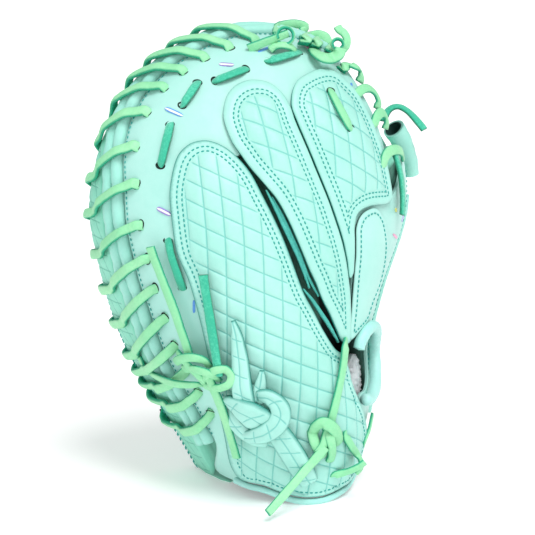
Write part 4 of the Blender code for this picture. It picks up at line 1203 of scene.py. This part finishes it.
# ------------------------------------------------------------------ lacing over the rim
def build_rim_laces():
    pits = []
    for number, degrees in enumerate(RIM_HOLES, 1):
        run = np.array((-13.5, -12.0, -10, -7, -3.5, 0, 3, 6, 9, 12.5, 16, 19, 22, 25, 29, 34, 40, 47, 54, 59, 62, 64.5))
        lift = 2.4 + 0.8 * ease((degrees - 200) / 10) + 2.8 * ease((run + 7) / 11) * ease((30 - run) / 9)
        lift = lift + 0.25 * math.sin(number * 2.3) * ease((run + 8) / 10) * ease((40 - run) / 10)
        lift[0], lift[1], lift[2] = -1.2, 0.6, 1.9
        lift[-1], lift[-2], lift[-3] = -1.2, 0.8, 1.9
        swing = 9 - 8 * float(ease((degrees - 219) / 22))
        slant = 9.5 * (1 - float(ease((degrees - 200) / 28)))
        at = degrees + swing * (run + 11) / 73 + slant * np.clip((run + 10) / 44, 0, 1)
        path, normals = round_rim(np.stack([at, run, lift], -1), 1.2)
        roll = math.radians(4 * math.sin(number * 1.7))
        side = np.cross(tangents(path), normals / np.linalg.norm(normals, axis=1, keepdims=True))
        share = np.linspace(0, 1, len(path))[:, None]
        normals = normals / np.linalg.norm(normals, axis=1, keepdims=True) + side * math.sin(roll) \
            + (0.45 * BACKWARD + 0.42 * UP) * ease((share - 0.04) / 0.12) * (1 - ease((share - 0.45) / 0.15))
        p, f, k = thong(path, normals, 6.4, 2.8, seed=number, curl=-0.10)
        make(f"lace_over_rim_{number:02d}", p, f, LACE, (f"rim_lace_{number:02d}",), kind=k)
        for where, ahead in ((0, 1), (-1, -2)):
            r = run[0] + 1.2 if where == 0 else run[-1] - 1.0
            d = at[where]
            c = rim(d, r, 0.0)
            n = rim_normal(d, r)
            pits.append(pit(c, n, rim(d, r + 1, 0) - rim(d, r - 1, 0), 5.6, 8.0))
    return pits


PITS = build_rim_laces()


def lace_piece(name, marks, width, thick, seat=(), placing=trail, material=None, taper=0.0, seed=0, curl=-0.15):
    path, normals = placing(marks)
    p, f, k = thong(path, normals, width, thick, taper=taper, curl=curl, seed=seed)
    material = material or LACE
    obj = make(name, p, f, material, seat, kind=k)
    return obj, path


def add_pit(px, py, tx, ty, long=5.4, wide=7.4, lift=0.0):
    c, n = spot(px, py, lift)
    q, _ = spot(px + tx, py + ty, lift)
    PITS.append(pit(c, n, q - c, long, wide))


def at_depth(px, py, depth):
    d = -BACKWARD + RIGHT * ((px - 267.5) / FOCAL) + UP * ((267.5 - py) / FOCAL)
    return AIM + BACKWARD * FAR + d * (FAR + depth)


def depth_of(point):
    """Depth past the aim point, as at_depth takes it."""
    return float(np.dot(point - (AIM + BACKWARD * FAR), -BACKWARD)) - FAR


def facing(marks, step=1.0):
    """A path through (px, py, depth) marks."""
    return smooth_path([at_depth(*m) for m in marks], step)


# the short suede bars on the back, each between two holes
BARS = (
    ("lace_bar_1", (169.5, 127), (161, 163), 1.6, SUEDE), ("lace_bar_2", (196.5, 84), (183, 104), 1.6, SUEDE),
    ("lace_bar_3", (244, 69.5), (216.5, 80), 1.6, SUEDE), ("lace_bar_4", (297, 52.5), (269.5, 60.5), 1.6, SUEDE),
    ("lace_bar_6", (332, 93), (349.5, 126), 7.4, LACE),
)
for number, (node, first, last, lift, material) in enumerate(BARS):
    (ax, ay), (bx, by) = first, last
    marks = [
        (ax + (bx - ax) * t, ay + (by - ay) * t, lift + h)
        for t, h in ((-0.10, -3.0), (-0.02, -0.7), (0.10, 0.8), (0.3, 1.3), (0.5, 1.5), (0.7, 1.3), (0.9, 0.8),
                     (1.02, -0.7), (1.10, -3.0))]
    lace_piece(node + "_leather", marks, 5.6, 2.2, (node,), material=material, seed=number)
    base = lift - 1.5
    add_pit(ax - (bx - ax) * 0.07, ay - (by - ay) * 0.07, bx - ax, by - ay, 5.0, 7.2, base)
    add_pit(bx + (bx - ax) * 0.07, by + (by - ay) * 0.07, bx - ax, by - ay, 5.0, 7.2, base)
marks = [(167.5, 238, -1.4), (169, 243, 1.0), (170, 250, 2.6), (172, 258, 3.0), (175, 267, 2.9), (178, 276, 2.6),
         (181, 284, 1.6), (183, 290, -1.0)]
lace_piece("lace_bar_5_leather", marks, 5.6, 2.2, ("lace_bar_5",), material=SUEDE, seed=9)
add_pit(168, 240, 2, 8, 5.0, 7.2, 0)
add_pit(182.5, 288, 2, 8, 5.0, 7.2, 0)

# ------------------------------------------------------------------ the knotted lace of the little-finger side
CORDS = []


def free_end(obj, path, width, with_pieces=()):
    length = float(np.linalg.norm(np.diff(path, axis=0), axis=1).sum()) * MM
    points = [tuple(((q - CENTRE) * MM).tolist()) for q in path[::2]]
    if not np.allclose(path[::2][-1], path[-1]):
        points.append(tuple(((path[-1] - CENTRE) * MM).tolist()))
    CORDS.append(dict(
        obj=obj, exit=points[0], length=length, diameter=width * MM, far_end="bare", stiffness="medium",
        lay="hanging", path=points))


tail_1 = [(189, 356, 7.0), (186, 345, 7.2), (180, 328, 7.4), (174, 310, 7.2), (167, 292, 6.8), (160, 274, 6.6),
          (154.5, 260, 6.8), (150, 247, 7.6)]
obj, path = lace_piece("tail_left_leather", tail_1, 6.2, 2.2, ("lace_tail_left",), seed=3)
free_end(obj, path, 6.2)
tail_2 = [(219, 376, 11.2), (217.5, 366, 11.4), (215, 350, 11.2), (212, 332, 10.6), (209, 312, 10.0),
          (206, 294, 9.8), (203, 275, 10.8)]
obj, path = lace_piece("tail_suede_leather", tail_2, 6.2, 2.3, ("lace_tail_suede",), material=SUEDE, seed=4)
free_end(obj, path, 6.2)
tail_3 = [(209, 378, 9.2), (213, 388, 10.4), (219, 402, 10.2), (225, 419, 9.8), (230, 436, 9.6), (234, 449, 9.8),
          (236.5, 458, 10.4)]
obj, path = lace_piece("tail_lower_leather", tail_3, 6.4, 2.2, ("lace_tail_lower",), seed=5)
free_end(obj, path, 6.4)

knot_parts = []
for number, (marks, width) in enumerate((
    ([(176, 362, 4.0), (179, 360, 8.0), (186, 358, 11.0), (195, 358, 12.2), (204, 361, 11.0), (209, 366, 7.5)], 5.8),
    ([(184, 369, 4.5), (189, 369, 8.5), (196, 370, 12.4), (206, 373, 13.4), (214, 377, 11.0), (218, 380, 7.0)], 5.8),
    ([(205, 386, 6.8), (212, 388, 10.2), (221, 388, 13.2), (229, 384, 13.8), (231, 376, 12.6), (226, 370, 12.0),
      (217, 370, 13.2), (209, 374, 11.4), (204, 379, 8.0)], 5.2),
    ([(178, 353, 4.6), (183, 360, 8.6), (190, 368, 9.6), (199, 377, 9.0), (205, 384, 6.0)], 5.4),
)):
    path, normals = trail(marks, 1.0)
    knot_parts.append(thong(path, normals, width, 2.1, seed=20 + number, curl=-0.3))
p, f, k = merge(knot_parts)
make("knot_left_leather", p, f, LACE, ("lace_knot_left",), kind=k)

# the big loop that crosses the rim to that knot
for number, marks in enumerate((
    ([(139, 357, 3.0), (144, 366, 5.5), (152, 374, 7.5), (163, 380, 8.2), (175, 384, 8.4), (188, 385, 7.6),
      (198, 385, 5.0), (203, 385, 1.0)]),
)):
    lace_piece(f"loop_crossing_{number}", marks, 5.4, 2.1, seed=40 + number)

# ------------------------------------------------------------------ the knotted strap of embossed leather
strap_parts = []
for number, (marks, widths, thick, cup, placing) in enumerate((
    # upper pointed tail
    ([(233, 321, 11.5), (236, 332, 10.4), (238, 346, 9.6), (240, 362, 9.8), (241, 378, 12.0), (243, 394, 15.0),
      (246, 406, 15.0)], (2.5, 7.5, 10.0, 12.0, 13.5, 13.5), 2.6, 2.0, trail),
    # wrap across the knot, like a pocket
    ([(227, 399, 8.0), (232, 403, 12.5), (240, 409, 16.0), (249, 414, 17.5), (258, 419, 17.0), (266, 424, 14.5)],
     (5, 10, 15, 19, 21, 20), 2.6, 3.4, trail),
    # the under turn, from the left below the wrap
    ([(229, 408, 6.0), (234, 420, 9.0), (243, 431, 10.5), (256, 438, 10.5), (268, 440, 9.0)],
     (8, 11, 12, 12, 10), 2.6, 2.4, trail),
    # ear that sticks out above
    ([(262, 371, 13.0), (261, 381, 12.6), (259, 392, 13.6), (257, 402, 14.5)], (3.0, 6.5, 8.5, 9), 2.4, 1.0, trail),
    # right turn
    ([(259, 396, 15.0), (268, 397, 18.6), (277, 403, 20.5), (281, 413, 20.5), (277, 424, 20.2), (267, 432, 18.6),
      (255, 436, 15.0), (246, 436, 10.5)], (8, 10, 12, 13, 13, 12, 10, 8), 2.6, 1.4, trail),
    # lower strap
    ([(270, 422, 11.0), (279, 434, 12.0), (288, 447, 11.2), (296, 460, 9.8), (304, 473, 8.2), (309, 481, 5.8)],
     (13, 15, 15.5, 15.5, 14.5, 12), 2.8, 2.0, trail),
)):
    path, normals = placing(marks, 1.2)
    strap_parts.append(band(path, normals, widths, thick, cup, seed=60 + number, across=13))
STRAP_SEATS = (("strap_tail_upper",), ("strap_knot",), (), (), (), ("strap_tail_lower",))
STRAP_NAMES = ("strap_end_upper", "strap_wrap", "strap_under", "strap_ear", "strap_turn", "strap_end_lower")
for (p, f, k, uv), seat, name in zip(strap_parts, STRAP_SEATS, STRAP_NAMES):
    make(name, p, f, EMBOSSED, seat, uv, k)

# ------------------------------------------------------------------ the lace beside the opening
lace_piece("lace_right_leather", [(346, 340, 3.0), (345.5, 347, 7.4), (344, 362, 7.8), (341, 380, 8.0),
                                  (337, 398, 8.4), (332.5, 416, 9.6), (330, 426, 9.6)], 5.8, 2.2,
           ("lace_right_upper",), seed=12)
knot_parts = []
for number, (marks, width, seed) in enumerate((
    ([(313, 433, 6.5), (316, 427, 10.5), (323, 423, 14.0), (332, 427, 14.6), (338, 435, 11.5), (339, 443, 8.0)], 7.4, 1),
    ([(312, 430, 6.4), (314, 440, 9.4), (318, 449, 10.0), (324, 456, 8.6)], 6.2, 2),
    ([(327, 428, 9.0), (330, 437, 12.6), (332, 446, 12.8), (332, 456, 9.6), (330, 461, 7.4)], 6.2, 3),
    ([(330, 426, 8.6), (327, 434, 11.0), (324, 444, 12.0), (318, 453, 11.4)], 6.2, 4),
)):
    path, normals = trail(marks, 1.0)
    knot_parts.append(thong(path, normals, width, 2.1, seed=30 + seed, curl=-0.3))
p, f, k = merge(knot_parts)
make("knot_right_leather", p, f, LACE, ("lace_knot_right",), kind=k)

first = [spot(px, py, lift)[0] for px, py, lift in ((325.5, 447, 12.6), (318, 456, 12.6), (309, 466, 12.8))]
deep = depth_of(first[-1])
path = smooth_path(first + [at_depth(299, 477.5, deep - 3), at_depth(288, 490.5, deep - 7),
                            at_depth(277, 503, deep - 12), at_depth(268, 513, deep - 17)], 1.1)
path[:, 2] = np.maximum(path[:, 2], 1.6)
normal = skin_normal(np.array([12.0]), np.array([28.0]))[0]
p, f, k = thong(path, np.broadcast_to(normal * 0.7 - RIGHT * 0.35 - UP * 0.1, path.shape), 5.8, 2.4, taper=0.12,
                seed=7, curl=-0.1)
p[:, 2] = np.maximum(p[:, 2], 0.3)
obj = make("tail_right_leather", p, f, LACE, ("lace_tail_right",), kind=k)
free_end(obj, path, 5.8)
for number, marks in enumerate((
    [(345, 431, 2.0), (346, 436, 7.2), (351, 445, 8.4), (357, 454, 8.6), (361, 461, 8.0), (361, 468, 6.4),
     (356, 474, 2.4)],
    [(365, 462, 2.0), (360, 466, 6.6), (352, 470, 8.0), (343, 473, 7.8), (335, 475, 6.6), (331, 475, 2.0)],
    [(362, 449, 1.0), (365, 440, 4.2), (369, 430, 4.6), (371, 421, 4.0), (372, 416, 1.0)],
)):
    lace_piece(f"lace_heel_{number}", marks, 5.0, 2.0, seed=50 + number)
add_pit(345, 431, 2, 8, 5.0, 7.0, 4.9)
add_pit(332, 475, 8, 0, 5.0, 7.0, 4.4)

# ------------------------------------------------------------------ knots at the fingertips
def curl_of(px, py, radius, depth, start, turns, width, drift=0.0, seed=0):
    """A thong rolled into an open loop that faces the camera: its flat side points away from the loop's centre."""
    a = np.radians(start) + np.linspace(0, turns * 2 * math.pi, int(26 * turns) + 4)
    grow = radius * (1 + 0.10 * np.linspace(-1, 1, len(a)))
    deep = depth + np.linspace(-drift, drift, len(a))
    path = np.array([at_depth(px + g * math.cos(k), py + g * math.sin(k), w) for g, k, w in zip(grow, a, deep)])
    middle = np.array([at_depth(px, py, w) for w in deep])
    out = path - middle
    return thong(path, out / np.linalg.norm(out, axis=1, keepdims=True), width, 2.0, seed=seed, curl=0.0)


top_parts = []
deep = depth_of(spot(285, 40, 6.0)[0])
top_parts.append(curl_of(285, 35.5, 8.6, deep - 1, 150, 1.12, 6.4, 1.6, 70))
path = facing([(248.5, 48.5, deep - 3), (256, 45.5, deep - 4), (266, 41.5, deep - 4), (277, 37.5, deep - 3),
               (288, 33, deep - 2)])
top_parts.append(thong(path, np.broadcast_to(BACKWARD * 0.75 - UP * 0.65, path.shape), 5.6, 2.6, seed=71))
for number, (marks, width) in enumerate((
    ([(277, 33, 6.0), (281, 26, 8.6), (288, 22, 9.6), (296, 24.5, 9.4), (302, 32, 7.6), (306, 41, 4.0)], 6.0),
    ([(270, 50, 2.0), (275, 46, 4.5), (283, 45, 6.0), (291, 47, 5.0), (295, 51, 2.0)], 5.0),
)):
    path, normals = trail(marks, 1.0)
    unit = normals / np.linalg.norm(normals, axis=1, keepdims=True)
    top_parts.append(thong(path, unit + BACKWARD * 0.35 - UP * 0.25, width, 2.2, seed=72 + number, curl=-0.2))
p, f, k = merge(top_parts)
make("knot_top_1_leather", p, f, LACE, ("lace_knot_top_1",), kind=k)
top_parts = []
for number, (marks, width) in enumerate((
    ([(303, 44, 2.5), (306, 39.5, 6.4), (312, 37, 8.2), (319, 36, 8.6), (325, 38.5, 7.0), (327, 44, 4.0)], 7.6),
    ([(314, 47, 3.0), (317, 43, 6.0), (322, 42, 8.0), (328, 45, 8.0), (330, 51, 5.0)], 6.8),
    ([(314, 50, 2.5), (318, 54, 6.4), (325, 57.5, 8.4), (333, 57.5, 8.2), (339, 53.5, 6.0), (341, 48, 3.0)], 8.0),
)):
    path, normals = trail(marks, 1.0)
    unit = normals / np.linalg.norm(normals, axis=1, keepdims=True)
    top_parts.append(thong(path, unit + BACKWARD * 0.7, width, 2.3, seed=80 + number, curl=-0.2))
place = np.array(spot(330, 51, 5.0)[0], float)
place[1] = min(place[1], 56.0)
deep = depth_of(place)
top_parts.append(curl_of(337.5, 44.5, 5.6, deep - 3, 20, 1.3, 6.6, 1.4, 84))
path = facing([(343, 50, deep - 2), (346.5, 45, deep - 3), (347, 38.5, deep - 3), (344, 33, deep - 2.5),
               (340, 30, deep - 1), (337.5, 26.5, deep)])
top_parts.append(thong(path, np.broadcast_to(BACKWARD + RIGHT * 0.4, path.shape), 5.4, 2.0, seed=85, curl=-0.2))
p, f, k = merge(top_parts)
p = np.array(p, float)
p[:, 1] = np.where(p[:, 1] > 70, 70 + 0.6 * (p[:, 1] - 70), p[:, 1])
make("knot_top_2_leather", p, f, LACE, ("lace_knot_top_2",), kind=k)

# laces folded over the right edge of the fingertips, tied to the web
for number, (marks, node) in enumerate((
    ([(340, 71, -1.0), (343, 68, 2.6), (348, 65.5, 4.0), (354, 66, 4.6), (359, 70, 4.2), (361, 76, 2.4),
      (359.5, 82, -0.5)], "web_lace_1"),
    ([(354, 99, -1.0), (357, 94.5, 2.6), (362, 89.5, 4.2), (368, 88, 4.8), (374.5, 92.5, 4.4), (378.5, 101, 3.0),
      (377, 109, 0.0)], "web_lace_2"),
    ([(372, 131, -1.0), (374, 125, 2.6), (377, 117, 4.2), (381.5, 112.5, 4.4), (385, 115.5, 3.6), (386.5, 123, 1.8),
      (385, 129, -0.5)], "web_lace_3"),
    ([(381.5, 173, -1.0), (383, 167, 2.6), (385, 158, 4.4), (389, 152, 4.9), (395.5, 149.5, 4.9), (401, 151.5, 3.6),
      (402.5, 157, 1.0)], None),
)):
    lace_piece(f"lace_web_side_{number}", marks, 6.6, 2.2, (node,) if node else (), seed=90 + number)
    add_pit(marks[0][0] + 0.8, marks[0][1] - 1.0, 4, -6, 5.0, 8.0, 0.0)
lace_piece("lace_web_long", [(395, 154, 3.2), (398, 163, 4.0), (401, 176, 4.2), (402.5, 190, 4.2), (403, 204, 4.4),
                             (402.5, 215, 4.8)], 6.2, 2.4, material=SUEDE, seed=97)

# the lace end that arcs out behind the thumb roll
behind = depth_of(rim(30, 12, 8.0))
path = smooth_path([at_depth(*m) for m in (
    (383, 121, behind - 2), (386, 113, behind), (392, 107.5, behind + 1), (399, 106.5, behind + 2),
    (407, 110.5, behind + 2), (414, 117, behind + 2), (420, 124, behind + 1), (424.5, 129.5, behind))], 1.0)
p, f, k = thong(path, np.broadcast_to(UP * 0.9 + BACKWARD * 0.55, path.shape), 5.4, 2.1, seed=98, curl=-0.2)
make("lace_web_far", p, f, SUEDE, kind=k)

# the lace holes' near-black colour is painted shade
p, f, k = merge(PITS)
make("lace_holes", p, f, HOLE_SHADE)


# ------------------------------------------------------------------ opening beside the thumb
def build_ring():
    line = [(44.2, 98), (45.8, 102.3), (50.0, 107.0), (57, 109.2), (64.2, 105.4), (69.0, 97), (71.2, 87.5),
            (70.6, 77.5), (66.8, 68.4), (60.6, 62.8), (54.4, 61.2), (50.4, 62.6)]
    path, normals = over([(x, z, 4.4) for x, z in line], 0.7)

    def profile(k, angle):
        inner = 0.5 + 0.5 * np.cos(angle - 0.4)
        crease = 0.07 * np.abs(np.sin(k * 0.42 + 0.8 * np.sin(k * 0.13))) ** 0.5
        return 1.03 - crease * inner - 0.04 * np.sin(k * 0.21 + 1.3) * inner

    points, faces = tube_mesh(path, 3.9, 22, normals=normals, profile=profile)
    points = points + skin_normal(points[:, 0], points[:, 2]) * (value_noise(points, 4.0, 9) * 0.18)[:, None]
    make("ring_leather", points, faces, EDGING, ("opening_ring",), kind=np.zeros(len(points)))


build_ring()


def build_fleece():
    line = smooth_path([(53, 59), (61, 58.5), (67.5, 63), (72, 71), (72, 79), (69, 84), (62, 86), (54, 84),
                        (50, 78), (50, 67)], 0.8, closed=True)
    flat, tri = triangulated(line, 0.75, rings=(0.4,))
    d, _ = edge_distance(flat, line)
    p = skin(flat[:, 0], flat[:, 1], -8)
    curls = np.abs(value_noise(p, 2.6, 5)) * 1.8 + np.abs(value_noise(p, 1.3, 8)) * 1.1 + value_noise(p, 9, 2) * 0.8
    top = -6.6 + curls - 2.4 * (1 - ease(d / 3.5)) ** 2
    points, faces, count, used = sheet_mesh(flat, tri, shell_place, top, np.full(len(flat), -11.3), (0.5,))
    under = skin(flat[:, 0], flat[:, 1], -11.3)
    index = len(points)
    points = np.concatenate([points, under])
    faces = np.concatenate([faces, tri[:, ::-1] + index])
    make("fleece_lining", points, faces, FLEECE, ("wrist_lining",))


build_fleece()


# ------------------------------------------------------------------ wrist strap's piping
def build_binding():
    line = [(-23.4, 13.4), (-22.5, 13), (-18, 11.5), (-12, 11.2), (-5.5, 9), (1, 6.6), (9.5, 5), (19.5, 5), (31, 6.8),
            (43, 8.6), (50.4, 14), (51, 15)]
    path, normals = over([(x, z - 2.6, 2.4) for x, z in line], 0.8)

    def profile(k, angle):
        return 1.05 + 0.03 * np.sin(k * 0.9 + 2 * np.sin(k * 0.31)) + 0.02 * np.sin(k * 2.1)

    points, faces = tube_mesh(path, 2.0, 16, normals=normals, profile=profile)
    make("binding_leather", points, faces, EDGING, ("wrist_binding",), kind=np.zeros(len(points)))


build_binding()

# pieces of the slit's folded lining, between the little-finger panel and the middle one; their dark teal is painted
# shade in the slit
for number, marks in enumerate((
    [(266, 190, 0.2), (277, 212, 0.2), (286, 231, 0.2), (295, 250, 0.2), (303, 270, 0.2), (309, 288, 0.2)],
    [(303, 289, 0.2), (312, 300, 0.6), (322, 315, 0.8), (331, 329, 0.8), (338, 342, 0.4)],
    [(272, 197, -0.8), (282, 216, -0.8), (291, 236, -0.8), (299, 254, -0.8), (307, 275, -0.8), (318, 296, -0.8)],
)):
    path, normals = trail(marks, 1.2)
    p, f, k, uv = band(path, normals, (1.2, 2.2, 2.6, 2.6, 2.0, 1.2), 1.2, 0.4, seed=120 + number, lattice=False)
    make(f"slit_fold_{number}", p, f, SLIT_SHADE)


# ------------------------------------------------------------------ web and thumb roll
def web_place(x, z, lift):
    y = front_y(np.full(np.shape(x), 34.0), x, z) - 14 - lift
    return np.stack([x, y, z], -1)


def build_web():
    inner = [(27 + 4 * k) for k in range(9)]
    outer = [(57 - 4 * k) for k in range(7)]
    line = []
    for d in inner:
        r = float(pad_radius(np.array(float(d)))[0]) + 3.6
        line.append((CX + r * math.cos(math.radians(d)), CZ + r * math.sin(math.radians(d))))
    for d in outer:
        r = float(reach(math.radians(d))) - 9
        line.append((CX + r * math.cos(math.radians(d)), CZ + r * math.sin(math.radians(d))))
    fine = []
    for k, a in enumerate(line):
        b = line[(k + 1) % len(line)]
        n = max(1, int(math.dist(a, b) / 1.6))
        fine += [(a[0] + (b[0] - a[0]) * j / n, a[1] + (b[1] - a[1]) * j / n) for j in range(n)]
    flat, tri = triangulated(fine, 2.0, rings=(0.5, 2.8))
    d, _ = edge_distance(flat, fine)
    p = web_place(flat[:, 0], flat[:, 1], 0)
    u, v = lattice_at(flat[:, 0], flat[:, 1])
    mask = ease((d - 5) / 1.0)
    sway = 0.35 * value_noise(p, 14, 6) + (pillow_soft(u, v) - 0.5) * 0.5 * mask
    upper = web_place(flat[:, 0], flat[:, 1], -3.0 + sway * 0 - 0.1)
    front = web_place(flat[:, 0], flat[:, 1], -3.0 - 0.2 - sway)
    back = web_place(flat[:, 0], flat[:, 1], 0.1 + sway)
    edges = boundary(tri)
    n = len(flat)
    faces = np.concatenate([tri, tri[:, ::-1] + n, np.stack([edges[:, 1], edges[:, 0], edges[:, 0] + n], -1),
                            np.stack([edges[:, 1], edges[:, 0] + n, edges[:, 1] + n], -1)])
    points = np.concatenate([back, front])
    t = points[faces]
    if np.einsum("ij,ij->i", t[:, 0], np.cross(t[:, 1], t[:, 2])).sum() < 0:
        faces = faces[:, ::-1]
    uv = np.concatenate([np.stack([u, v, mask], -1)] * 2)
    edge = np.concatenate([np.clip(1 - d / 0.5, 0, 1) * 0.7] * 2)
    make("web_leather", points, faces, EMBOSSED, ("web_panel",), uv, edge)
    rows = []
    for part in inset(fine, 3.0):
        q = smooth_path(part, 0.9)
        for lift, sign in ((0.2, -1.0), (-3.3, 1.0)):
            rows.append(dashes(web_place(q[:, 0], q[:, 1], lift), np.broadcast_to((0, sign, 0.0), (len(q), 3)), 2.2,
                               1.3, 0.4))
    p, f, k = merge(rows)
    make("web_stitching", p, f, THREAD)
    # lacing that ties the web to the pad, round the notch
    parts, spots = [], (29, 34, 39, 44, 49, 54, 58)
    for number, d in enumerate(spots):
        a, b = math.radians(d), math.radians(d + 1.6)
        r0, r1 = float(pad_radius(np.array(float(d)))[0]) - 9, float(pad_radius(np.array(float(d)))[0]) + 9
        y0 = float(front_y(9.0, CX + r0 * math.cos(a), CZ + r0 * math.sin(a)))
        q = web_place(np.array([CX + r1 * math.cos(b)]), np.array([CZ + r1 * math.sin(b)]), -3.4)[0]
        start = np.array((CX + r0 * math.cos(a), y0 + 0.6, CZ + r0 * math.sin(a)))
        middle = (start + q) / 2 + (0, 4.6, 0)
        path = smooth_path([start + (0, -3.0, 0), start, middle, q + (0, 1.0, 0), q + (0, -2.6, 0)], 1.0)
        parts.append(thong(path, np.broadcast_to((0.0, 1.0, 0.15), path.shape), 5.2, 2.0, seed=130 + number,
                           curl=-0.2))
    p, f, k = merge(parts)
    make("web_lacing", p, f, LACE, kind=k)


build_web()


def build_roll():
    deep = depth_of(rim(28, 14, 10.0))
    path = facing([(393.5, 128.5, deep - 3), (397, 133.5, deep), (401.5, 141, deep + 5), (406, 151, deep + 11),
                   (409.5, 162, deep + 16), (411, 174, deep + 20)], 1.2)
    radius = np.interp(np.linspace(0, 1, len(path)), (0, 0.25, 1), (7.4, 7.0, 5.2))
    outer, faces = tube_mesh(path, radius, 26, caps=False, profile=lambda k, a: 1 + 0.025 * np.sin(3 * a + k * 0.2)
                             + 0.02 * np.sin(k * 0.8))
    inner, more = tube_mesh(path, radius - 1.8, 26, caps=False)
    n = len(path) * 26
    j = np.arange(26)
    last = (len(path) - 1) * 26
    ends = [
        np.stack([j, (j + 1) % 26, n + j], -1), np.stack([(j + 1) % 26, n + (j + 1) % 26, n + j], -1),
        np.stack([last + (j + 1) % 26, last + j, n + last + j], -1),
        np.stack([last + (j + 1) % 26, n + last + j, n + last + (j + 1) % 26], -1)]
    points = np.concatenate([outer, inner])
    faces = np.concatenate([faces, more[:, ::-1] + n] + ends)
    t = points[faces]
    if np.einsum("ij,ij->i", t[:, 0], np.cross(t[:, 1], t[:, 2])).sum() < 0:
        faces = faces[:, ::-1]
    # painted shade: the roll's inner wall takes WELT's near-black suede colour
    kind = np.concatenate([np.zeros(n), np.ones(n)])
    obj = make("roll_leather", points, faces, WELT, ("thumb_roll",), kind=kind)
    return obj


build_roll()


# ------------------------------------------------------------------ sprinkles printed on the back
def sprinkle(name, first, last, lift, colours, width=1.7):
    (ax, ay), (bx, by) = first, last
    for part, colour in enumerate(colours):
        low, high = 0.0, 1.0
        wide = width if len(colours) == 1 else (2.8, 1.3)[part]
        t = np.linspace(low, high, 9)
        marks = [(ax + (bx - ax) * s, ay + (by - ay) * s, lift + 0.35 * part) for s in t]
        path, normals = trail(marks, 0.6)
        n = len(path)
        ends = np.sqrt(np.clip(1 - (np.abs(np.linspace(-1, 1, n)) ** 4), 0.02, 1))
        side, up, _ = frames(path, normals)
        w = np.linspace(-0.5, 0.5, 5)
        top = path[:, None] + side[:, None] * (ends[:, None] * w * wide)[..., None] + up[:, None] * 0.28
        low_side = path[:, None] + side[:, None] * (ends[:, None] * w[::-1] * wide)[..., None] - up[:, None] * 0.5
        points = np.concatenate([top, low_side], 1).reshape(-1, 3)
        faces = grid_faces(n, 10, wrap_columns=True)[:, ::-1]
        make(f"{name}_{part}", points, faces, INK[colour])


for number, (first, last, colours, lift) in enumerate((
    ((165, 108), (183, 116), ("blue", "white"), 0.35), ((219, 64), (234, 65), ("purple", "white"), 0.35),
    ((258, 52), (270, 47), ("blue",), 0.35), ((298, 41), (312, 50), ("pink",), 0.35),
    ((157, 208), (171, 215), ("purple", "white"), 0.35), ((194, 300), (194, 313), ("blue",), 0.35),
    ((351.5, 83), (351, 90), ("blue",), 0.35), ((397, 238), (393, 234), ("pink",), 0.35),
    ((402, 222), (404, 214), ("lilac",), 0.35), ((396, 208), (396.4, 212), ("yellow",), 0.35),
    ((352, 396), (358, 384), ("white", "blue"), 3.9),
)):
    if number < 10:
        sprinkle(f"sprinkle_{number}", first, last, lift, colours)


# ------------------------------------------------------------------ soft pieces
for cord in CORDS:
    obj = cord.pop("obj")

# ------------------------------------------------------------------ floor and light
floor_mat, tree, shader = nodes_of("pale floor")
shader.inputs["Base Color"].default_value = (0.90, 0.90, 0.90, 1)
shader.inputs["Roughness"].default_value = 0.6
grain = tree.nodes.new("ShaderNodeTexNoise")
grain.inputs["Scale"].default_value = 60.0
lumps = tree.nodes.new("ShaderNodeBump")
lumps.inputs["Strength"].default_value = 0.02
tree.links.new(grain.outputs["Fac"], lumps.inputs["Height"])
tree.links.new(lumps.outputs[0], shader.inputs["Normal"])
shader.inputs["Emission Color"].default_value = (1, 1, 1, 1)
shader.inputs["Emission Strength"].default_value = 0.26
mesh = bpy.data.meshes.new("floor")
mesh.from_pydata([(-14, -14, 0), (14, -14, 0), (14, 14, 0), (-14, 14, 0)], [], [(0, 1, 2, 3)])
mesh.materials.append(floor_mat)
floor = bpy.data.objects.new("floor", mesh)
bpy.context.scene.collection.objects.link(floor)


def area(name, place, size, power, aim=(0, 0, 0.15), colour=(1, 1, 1)):
    lamp = bpy.data.lights.new(name, "AREA")
    lamp.shape, lamp.size, lamp.size_y, lamp.energy, lamp.color = "RECTANGLE", size[0], size[1], power, colour
    obj = bpy.data.objects.new(name, lamp)
    bpy.context.scene.collection.objects.link(obj)
    obj.location = place
    obj.rotation_mode = "QUATERNION"
    obj.rotation_quaternion = (Vector(aim) - Vector(place)).to_track_quat("-Z", "Y")
    return obj


sun = bpy.data.lights.new("sun", "SUN")
sun.energy, sun.angle = 2.12, math.radians(26)
key = bpy.data.objects.new("sun", sun)
bpy.context.scene.collection.objects.link(key)
toward = Vector(BACKWARD * 0.8 + RIGHT * 0.28 + UP * 1.0)
key.rotation_mode = "QUATERNION"
key.rotation_quaternion = (-toward).to_track_quat("-Z", "Y")
key.location = toward
area("front", (-0.9, -1.6, 0.7), (0.8, 0.8), 5)

world = bpy.data.worlds.new("world")
world.use_nodes = True
world.node_tree.nodes["Background"].inputs[0].default_value = (1, 1, 1, 1)
world.node_tree.nodes["Background"].inputs[1].default_value = 0.57
bpy.context.scene.world = world
bpy.context.scene.view_settings.view_transform = "Standard"
